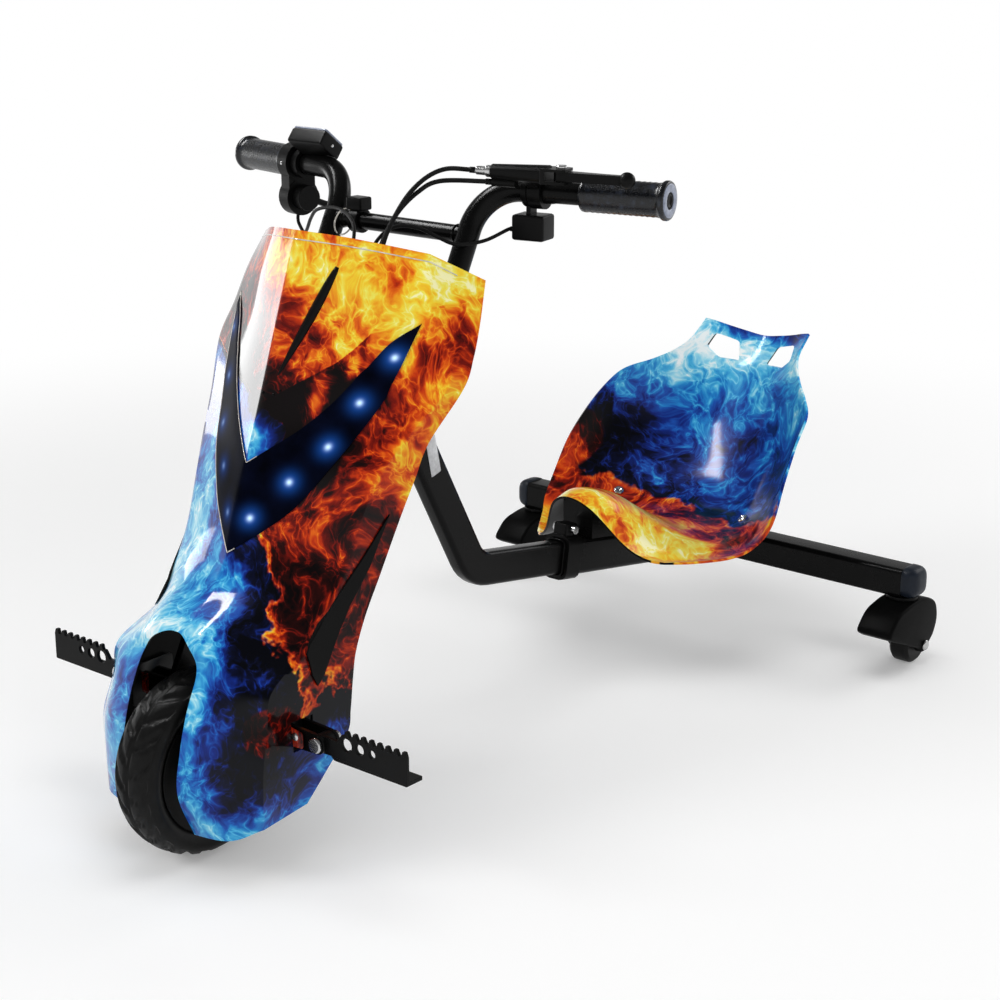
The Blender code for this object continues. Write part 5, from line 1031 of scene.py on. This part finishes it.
def make_lens():
    """The smoked V-shaped lamp cover, crowned across its width, with painted highlight beads on its edges."""
    grid = lens_grid(10)
    mesh = mesh_from("lens_skin", lambda work: sheet(work, grid))
    piece = add("lens_skin", mesh, "steering", "smoked_lens", stands_for=("lamp_lens",))
    inward = 1.0 if sum((face.normal for face in mesh.polygons), Vector()).y > 0 else -1.0
    modifier(piece, "SOLIDIFY", "wall", thickness=LENS_WALL, offset=inward, use_even_offset=True)
    soften(piece, .0005, 2, 50)
    for name, end, radius in LENS_BEADS:
        edge = [row[end] for row in grid if row[end].x < BEAD_END_X]
        add(name, tube(name, edge, radius, 3), "steering", "edge_highlight_and_wire", "smoked_lens")


def make_groove_shade():
    """A slim black strip of painted shade for the upper panel's groove, and the three small studs below it."""
    rows = []
    for share in [i / 24 for i in range(25)]:
        x, z = Vector(GROOVE_SHADE_TOP).lerp(Vector(GROOVE_SHADE_FOOT), share)
        fullness = sin(pi * min(1.0, .06 + .94 * share ** .8)) ** .7
        half = GROOVE_SHADE_TIP + (GROOVE_SHADE_HALF_WIDTH - GROOVE_SHADE_TIP) * fullness
        crown = GROOVE_SHADE_CROWN * half / GROOVE_SHADE_HALF_WIDTH
        rows.append([on_shell(x + swing * half, z - swing * half * .35, crown * (1 - swing ** 2) - GROOVE_SHADE_SINK)
                     for swing in [-1 + 2 * k / 6 for k in range(7)]])
    # The black strip paints the shade of the groove.
    mesh = mesh_from("groove_shade_strip", lambda work: sheet(work, rows))
    piece = add("groove_shade_strip", mesh, "steering", "satin_black")
    modifier(piece, "SOLIDIFY", "wall", thickness=GROOVE_SHADE_WALL, offset=0.0)
    for i, (x, z) in enumerate(STUD_PLACES):
        place = on_shell(x, z)
        add_turned(f"panel_stud_{i + 1}", STUD, place, on_shell(x, z, .01) - place, 12, "steering",
                   "satin_black")


def make_seat_skin():
    """The printed bucket seat with its rolled rim and two head rest windows."""
    grid = whole_surface(SEAT_ROWS, (0, BEAM.y, BEAM.z), 6, 6, mirrored=True)
    wall = plane((0, BEAM.y + SEAT_WINDOW_BACK, 0), LEFT, UP)
    tools = []
    for name, side in SIDES.items():
        window = rounded([(side * x, BEAM.z + rise) for x, rise in SEAT_WINDOW],
                         SEAT_WINDOW_CORNER)
        tools.append(outline_solid(f"{name}_window", window, SEAT_WINDOW_DEPTH, wall))
    solid = walled("seat_skin", grid, SEAT_WALL, UP)
    piece = add("seat_skin", cut(solid, tools), "rear_frame", "seat_print", stands_for=("seat_shell",))
    smooth(piece, 40)
    soften(piece, .0012, 3, 50)


def make_seat_bolts():
    """Domed socket screws that stand a little proud of the seat's curve."""
    row, column = SEAT_BOLT_STATION
    place = Vector(SEAT_ROWS[row][column]) + Vector((0, BEAM.y, BEAM.z))
    ahead = Vector(SEAT_ROWS[row + 1][column]) - Vector(SEAT_ROWS[row - 1][column])
    across = Vector(SEAT_ROWS[row][column + 1]) - Vector(SEAT_ROWS[row][column - 1])
    up = across.cross(ahead).normalized()
    for name, side in SIDES.items():
        flip = Vector((side, 1, 1))
        add_turned(f"{name}_seat_screw", SEAT_BOLT, place * flip, up * flip, 28, "rear_frame", "steel",
                   stands_for=(f"{name}_seat_bolt",))


def plug_ring(x, half):
    """A ring of points round a beam plug, in the shape of a square with soft corners."""
    row = []
    for turn in [2 * pi * k / 56 for k in range(56)]:
        c, d = cos(turn), sin(turn)
        reach = half / (abs(c) ** PLUG_SQUARENESS + abs(d) ** PLUG_SQUARENESS) ** (1 / PLUG_SQUARENESS)
        row.append(Vector((x, BEAM.y + reach * c, PLUG_HEIGHT + reach * d)))
    return row


def make_beam_plugs():
    """Blunt rounded plugs on the beam's ends, a little larger than the tube."""
    for name, side in SIDES.items():
        grid = [plug_ring(side * PLUG_START, PLUG_HALF - PLUG_CHAMFER)]
        for i in range(1, 18):
            share = sin(pi / 2 * i / 18)
            reach = share if i > 1 else share * .2
            half = PLUG_HALF * (1 - share ** 3.6) ** (1 / 3)
            grid.append(plug_ring(side * (PLUG_START + PLUG_LENGTH * reach), half))

        def build(work, grid=grid):
            verts = sheet(work, grid, close=True)
            work.faces.new(verts[0])
            work.faces.new(verts[-1])
        add(f"{name}_beam_plug", mesh_from("beam_plug", build), "rear_frame", "plug_plastic", "satin_black",
            stands_for=(f"{name}_beam_cap",))


def make_caster_hoods():
    """Moulded hoods with round shoulders over the casters' wheels, and the stems they turn on."""
    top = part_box("rear_beam")[0].z - HOOD_CLEARANCE
    for name in SIDES:
        axle = middle(f"{name}_caster_axle")
        trail = axle.y - BEAM.y
        front, rear = [[(y, axle.z + share * (top - axle.z)) for y, share in part]
                       for part in (HOOD_FRONT, HOOD_REAR)]
        boss = arc((trail, axle.z), HOOD_BOSS, pi * 1.05, pi * 1.95, 3)
        across = plane((axle.x, BEAM.y, 0), REAR, UP)
        block = outline_solid("hood", rounded(front + boss + rear, HOOD_CORNER, 5), 2 * HOOD_HALF, across)
        mesh = applied(block.data, "BEVEL", [{"width": HOOD_SHOULDER, "segments": 4, "limit_method": "ANGLE",
                                              "angle_limit": radians(50)}])
        half = HOOD_ROOM / 2
        room = lathe("room", ((0, -half), (HOOD_BORE, -half), (HOOD_BORE, half), (0, half)), axle, LEFT, 56)
        chute = rectangle(trail - HOOD_BORE, trail + HOOD_BORE, axle.z - 2 * HOOD_BORE, axle.z)
        tools = [bpy.data.objects.new("room", room), outline_solid("chute", chute, HOOD_ROOM, across)]
        piece = add(f"{name}_hood_skin", cut(mesh, tools), f"{name}_caster", "caster_black", "satin_black",
                    stands_for=(f"{name}_caster_hood",))
        smooth(piece, 38)
        add_turned(f"{name}_hood_stem", HOOD_STEM, (axle.x, BEAM.y, top), UP, 32, f"{name}_caster", "steel")


def make_handlebar():
    """Both risers with their bent bars, the cross tube, and a weld bead at each end of that."""
    foot = steering_point(RISER_OFFSET, RISER_SETBACK, 0)
    foot += UP_AXIS * ((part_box("handlebar")[0].z - foot.z + RISER_SINK) / UP_AXIS.z)
    curve = new_tube("handlebar", RISER_RADIUS, 10)
    for side in SIDES.values():
        flip = Vector((side, 1, 1))
        corners = [foot * flip, riser_point(RISER_OFFSET) * flip, bar_point(1, BAR_END) * flip]
        path = filleted(corners, BAR_BEND, 20)
        path.insert(-1, path[-2].lerp(path[-1], .25))
        path.insert(-2, path[-3].lerp(path[-2], .85))
        add_run(curve, path, [1.0] * (len(path) - 2) + [BAR_RADIUS / RISER_RADIUS] * 2)
    centre = riser_point(0, CROSS_DROP)
    ends = [centre - LEFT * RISER_OFFSET, centre + LEFT * RISER_OFFSET]
    add_run(curve, ends, [CROSS_RADIUS / RISER_RADIUS] * 2)
    add("handlebar_skin", curve, "steering", "black_frame", stands_for=("handlebar",))
    for name, side in (("near", 1), ("far", -1)):
        place = centre + LEFT * side * (RISER_OFFSET - RISER_RADIUS - WELD_REACH)
        add_turned(f"{name}_weld_bead", WELD_BEAD, place, LEFT * -side, 28, "steering", "black_frame")


def make_grips():
    """Ribbed grips with a flange, a pale ring of painted highlight and a black plug in their open ends."""
    length = GRIP_LENGTH
    ribs = [(GRIP_RADIUS - (GRIP_GROOVE if k % 2 else 0), .005 + k / GRIP_RIBS * (length - .015))
            for k in range(GRIP_RIBS + 1)]
    profile = [(.0118, .0004), (GRIP_RADIUS - .002, 0), (GRIP_RADIUS - .0004, .0008), (GRIP_RADIUS, .003),
               *ribs, (GRIP_RADIUS, length - .0075), (GRIP_FLANGE - .0006, length - .0058),
               (GRIP_FLANGE, length - .0045), (GRIP_FLANGE, length - .0018),
               (GRIP_FLANGE - .0008, length - .0004), (GRIP_FLANGE - .002, length),
               (.0085, length), (.0080, length - .0008), (.0080, length - .0014), (0, length - .0014)]
    for name, side in SIDES.items():
        axis = bar_axis(side)
        start = bar_point(side, BAR_END) - axis * (length - GRIP_END_WALL - GAP)
        add_turned(f"{name}_grip_skin", profile, start, axis, 48, "steering", "grip_rubber",
                   stands_for=(f"{name}_grip",))
        add_turned(f"{name}_grip_plug", GRIP_PLUG, start + axis * (length - .0004), axis, 28, "steering",
                   "satin_black", "grip_rubber")
        add_turned(f"{name}_grip_ring", GRIP_RING, start + axis * length, axis, 48, "steering",
                   "rim_highlight", "grip_rubber")


def end_centre(node, pick):
    """The middle of the ring of points at the end of a cable that pick puts first."""
    points = [v.co.copy() for v in NODES[node].data.vertices]
    first = min(points, key=pick)
    near = [p for p in points if (p - first).length < .0052 and abs(pick(p) - pick(first)) < .0015]
    return sum(near, Vector()) / len(near)


def make_cables():
    """The four cables along the solids' own routes, with ferrules where they leave the controls."""
    top = steering_point(0, *CONTROLLER_TOP)
    for name, points in CABLE_ROUTES.items():
        if name == "throttle_cable":
            place, way = end_centre(name, lambda p: p.x), -UP
        else:
            way = -bar_axis(1)
            place = end_centre(name, lambda p: -p.x * BAR_DIRECTION.x - p.y * BAR_DIRECTION.y)
        route = [place, place + way * CABLE_STUB]
        route += [Vector((x, y + AXLE.y, top.z + share * (BAR_HEIGHT - top.z))) for x, y, share in points]
        if name in LEAD_PLACES:
            socket = top + UP_AXIS * GAP + LEFT * LEAD_PLACES[name]
            route += [socket + UP_AXIS * LEAD_LENGTH, socket]
        else:
            drum_end = end_centre(name, lambda p: p.z)
            route += [Vector((x, y + AXLE.y, z)) for x, y, z in BRAKE_DROP]
            route += [drum_end + UP * CABLE_END, drum_end]
        radius = CABLE_RADIUS if name in ("brake_cable", "cutoff_cable") else WIRE_RADIUS
        add(f"{name}_skin", tube(name, flowing(route, CABLE_STEP), radius, 6), "steering", "cable_black",
            stands_for=(name,))
        if name != "throttle_cable":
            inner, outer = radius + .0001, radius + .0007
            ferrule = ((inner, 0), (outer, 0), (outer, .007), (inner, .0076))
            add_turned(f"{name}_ferrule", ferrule, place, way, 20, "steering", "satin_black", "cable_black")


def tread_depth(angle, x):
    """How deep the tread is cut at a place of the crown: swept grooves, fine sipes and a middle rib."""
    across = abs(x) / TYRE_HALF
    pitch = 2 * pi / TREAD_BLOCKS
    swept = angle + (.52 * across ** 1.5) * pitch * 2.1 + (pitch / 2 if x < 0 else 0)
    groove = max(0.0, 1 - abs(swept / pitch % 1.0 - .5) / (.17 + .13 * across))
    edge = min(1.0, max(0.0, (across - .10) / .06)) * min(1.0, max(0.0, (.86 - across) / .08))
    depth = TREAD_DEPTH * min(1.0, groove * 2.2) * edge
    if abs(swept / pitch * 2 % 1.0 - .5) < .10 and .45 < across < .80:
        depth = max(depth, SIPE_DEPTH)
    if abs(across - .05) < .03:
        depth = max(depth, RIB_DEPTH)
    return depth


def make_tyre():
    """The front tyre, with swept grooves cut into a round crown."""
    half = finer([(x, 0, radius * TYRE_SCALE) for radius, x in TYRE_SIDE], 4)
    line = [(p.z, -p.x) for p in half] + [(p.z, p.x) for p in reversed(half[:-1])]
    line += [(TYRE_SIDE[0][0] * TYRE_SCALE, x) for x in (TYRE_BEAD_HALF, 0, -TYRE_BEAD_HALF)]
    grid = []
    for angle in [2 * pi * i / TYRE_STEPS for i in range(TYRE_STEPS)]:
        row = []
        for radius, x in line:
            if radius > TREAD_FROM * TYRE_SCALE:
                radius -= tread_depth(angle, x)
            row.append(AXLE + Vector((x, radius * cos(angle), radius * sin(angle))))
        grid.append(row)

    def build(work):
        verts = sheet(work, grid, close=True)
        last, first = verts[-1], verts[0]
        for j in range(len(first)):
            k = (j + 1) % len(first)
            work.faces.new((last[j], last[k], first[k], first[j]))
    add("tyre_skin", mesh_from("tyre_skin", build), "front_wheel", "rubber", stands_for=("front_tyre",))


def make_label():
    """The blank label on the frame tube's near side."""
    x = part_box("frame_tube")[1].x + LABEL_LIFT
    corners = [(x, y, z) for y, z in rounded(LABEL_CORNERS, .0015)]
    add_plate("blank_label", corners, LABEL_WALL, "front_frame", "label_paper", "black_frame")


def make_bracket_dressing():
    """The printed foot and rivet of each peg bracket, and a painted shade sheet behind its slot in the shell."""
    for name, side in SIDES.items():
        low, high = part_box(f"{name}_peg_bracket")
        front = low.y - FOOT_LIFT
        foot = rounded([(side * FOOT_INNER, low.z + .004), (side * FOOT_OUTER, low.z + .007),
                        (side * FOOT_OUTER, high.z - .007), (side * FOOT_INNER, high.z - .002)], .003)
        add_plate(f"{name}_bracket_print", [(x, front, z) for x, z in foot], FOOT_WALL, "steering",
                  "dark_print", "shell_print")
        # Painted shade: a black sheet behind the slot, in place of the dark inside of the shell
        cover = rounded(rectangle(low.y - .014, high.y + .016, low.z - .009, high.z + .006), .005)
        add_plate(f"{name}_hole_shade_sheet", [(side * SHADE_SHEET_X, y, z) for y, z in cover], SHADE_SHEET_WALL, "steering",
                  "satin_black", "shell_print")
        place = (side * RIVET_X, front, (low.z + high.z) / 2 + .002)
        add_turned(f"{name}_bracket_rivet", RIVET, place, -REAR, 24, "steering", "steel")


def make_wire_loop():
    """A thin pale loop of wire that hangs round the cross bar beside the far riser."""
    hung = riser_point(TIE_X, CROSS_DROP) - UP * TIE_DROP
    around = [hung + Vector((TIE_LEAN * sin(a), TIE_LOOP * cos(a), TIE_LOOP * sin(a)))
              for a in (2 * pi * k / 40 for k in range(41))]
    add("bar_tie", tube("bar_tie", around, TIE_RADIUS, 3), "steering", "edge_highlight_and_wire", "cable_black")


def make_display():
    """The display's glass plate in a painted highlight rim, and small screws on it and the throttle's case."""
    face = Vector((0, sin(DISPLAY_TILT), cos(DISPLAY_TILT)))
    down = Vector((0, cos(DISPLAY_TILT), -sin(DISPLAY_TILT)))
    points = [v.co for v in NODES["battery_display"].data.vertices]
    top = max(p.dot(face) for p in points)
    above = [p for p in points if p.dot(face) > top - .004]
    centre = sum(above, Vector()) / len(above)
    centre += face * (top - centre.dot(face))
    for name, half_x, half_y, rise, finish in DISPLAY_PLATES:
        outline = rounded(rectangle(-half_x, half_x, -half_y, half_y), DISPLAY_CORNER)
        corners = [centre + LEFT * x + down * y + face * rise for x, y in outline]
        plate = add_plate(name, corners, DISPLAY_WALL, "steering", finish, "satin_black")
        soften(plate, .0005, 2, 50)
    place = centre - face * DISPLAY_SCREW_DROP
    place.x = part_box("battery_display")[1].x
    add_turned("display_screw", SMALL_SCREW, place, LEFT, 16, "steering", "steel")
    ahead = Vector((-BAR_DIRECTION.y, -BAR_DIRECTION.x, 0))
    place = bar_point(-1, THROTTLE_REACH) + ahead * THROTTLE_FACE
    add_turned("throttle_screw", SMALL_SCREW, place, ahead, 16, "steering", "steel")


def make_lever_ball():
    """The round end of the brake lever, smooth all over."""
    axis = bar_axis(1)
    points = [v.co for v in NODES["brake_lever"].data.vertices]
    end = max(p.dot(axis) for p in points)
    near = [p for p in points if p.dot(axis) > end - 2 * LEVER_BALL_INSET]
    centre = Vector([(min(row) + max(row)) / 2 for row in zip(*near)])
    centre += axis * (end - LEVER_BALL_INSET - centre.dot(axis))
    ball = [(radius, along) for along, radius in arc((0, 0), LEVER_BALL, pi, 0, 20)]
    add_turned("lever_ball_skin", ball, centre, axis, 40, "brake_lever", "satin_black")


def walk(value):
    """Every record entry that names both a node and its material slot."""
    if isinstance(value, dict):
        if "node" in value and "material_slot" in value:
            yield value
        value = list(value.values())
    if isinstance(value, list):
        for item in value:
            yield from walk(item)


def finish_cad_nodes():
    """Every CAD node that stays gets its slot's finish and softly rounded edges."""
    slots = {entry["node"]: entry["material_slot"] for entry in walk(frame["record"])}
    widths = {"steel": .0004, "black_frame": .0008, "satin_black": .0008}
    for name, piece in NODES.items():
        slot = slots.get(name, "satin_black")
        piece.data.materials.clear()
        piece.data.materials.append(FINISH[slot])
        modifier(piece, "WELD", "joined", merge_threshold=.00001)
        soften(piece, widths.get(slot, .0005))


def make_camera():
    away = Vector((sin(AZIMUTH) * cos(ELEVATION), -cos(AZIMUTH) * cos(ELEVATION), sin(ELEVATION)))
    data = bpy.data.cameras.new("camera")
    data.lens = LENS_LENGTH
    data.sensor_width = SENSOR_WIDTH
    camera = bpy.data.objects.new("camera", data)
    camera.location = TARGET + away * DISTANCE
    camera.rotation_euler = away.to_track_quat("Z", "Y").to_euler()
    bpy.context.scene.collection.objects.link(camera)
    bpy.context.scene.camera = camera


def make_light(name, place, aim, size, power, lights=True, shines=False, along=UP):
    """A softbox whose second side runs along a direction; lights says whether it lights surfaces,
    and shines whether gloss mirrors it."""
    data = bpy.data.lights.new(name, "AREA")
    data.shape = "RECTANGLE"
    data.size, data.size_y = size
    data.energy = power
    light = bpy.data.objects.new(name, data)
    away = (Vector(place) - Vector(aim)).normalized()
    across = Vector(along).cross(away)
    light.matrix_world = plane(place, across, away.cross(across))
    light.visible_diffuse = lights
    light.visible_glossy = shines
    bpy.context.scene.collection.objects.link(light)


def make_world():
    """A white horizon that darkens overhead, and one plain level for the light itself."""
    world = Tree(bpy.data.worlds.new("studio"))
    bpy.context.scene.world = world.owner
    height = world.parts(world.coordinates["Generated"])["Z"]
    seen = world.step(height, .02, .55, 1.0, WORLD_OVERHEAD)
    level = world.node("Mix", {"Factor": world.shown(), "A": WORLD_LEVEL, "B": seen}).outputs["Result"]
    world.feed(world.tree.nodes["Background"], {"Color": grey(1.0), "Strength": level})


def make_floor():
    """A pale floor that keeps the shadow near the object and ends in plain white."""
    mesh = mesh_from("floor", lambda work: bmesh.ops.create_circle(work, cap_ends=True, segments=96,
                                                                   radius=FLOOR_RADIUS))
    floor = bpy.data.objects.new("floor", mesh)
    bpy.context.scene.collection.objects.link(floor)
    paper = Paint("white_paper")
    seen = paper.shown()
    paper.set(Base_Color=grey(.86), Roughness=.9, Specular_IOR_Level=.0, Emission_Color=grey(1.0),
              Emission_Strength=paper.times(seen, FLOOR_GLOW))
    far = paper.step(paper.vector("LENGTH", paper.place), *FLOOR_FADE)
    white = paper.node("Emission", {"Strength": 1.0})
    blend = paper.node("MixShader", {0: paper.times(seen, far), 1: paper.shader.outputs[0],
                                     2: white.outputs[0]})
    paper.feed(paper.tree.nodes["Material Output"], {"Surface": blend.outputs[0]})
    mesh.materials.append(paper.owner)


def make_stage():
    make_world()
    make_floor()
    make_light("overhead", (.1, -.2, 2.6), (0, 0, .2), (1.8, 1.4), 16)
    make_light("front_key", (-1.3, -2.6, 1.9), (0, -.1, .3), (1.3, 1.0), 26)
    make_light("near_fill", (2.6, -1.2, 1.5), (0, 0, .25), (1.4, 1.4), 18)
    make_light("rear_rim", (.9, 2.4, 1.6), (0, .4, .2), (1.4, .8), 14, shines=True)
    make_light("side_panel", (-2.3, -.23, .60), (-.05, -.32, .50), (.78, .50), 6.6, lights=False, shines=True)
    make_light("seat_strip", (-1.0, -.36, 1.80), (-.03, .46, .24), (.15, 1.05), 24, lights=False, shines=True,
               along=(-.73, 1.46, .64))


make_camera()
make_stage()
bpy.context.scene.view_settings.view_transform = "Standard"
finish_cad_nodes()
make_shell_skin()
make_lens()
make_groove_shade()
make_seat_skin()
make_seat_bolts()
make_beam_plugs()
make_caster_hoods()
make_handlebar()
make_grips()
make_cables()
make_tyre()
make_label()
make_bracket_dressing()
make_wire_loop()
make_display()
make_lever_ball()

bpy.context.view_layer.update()
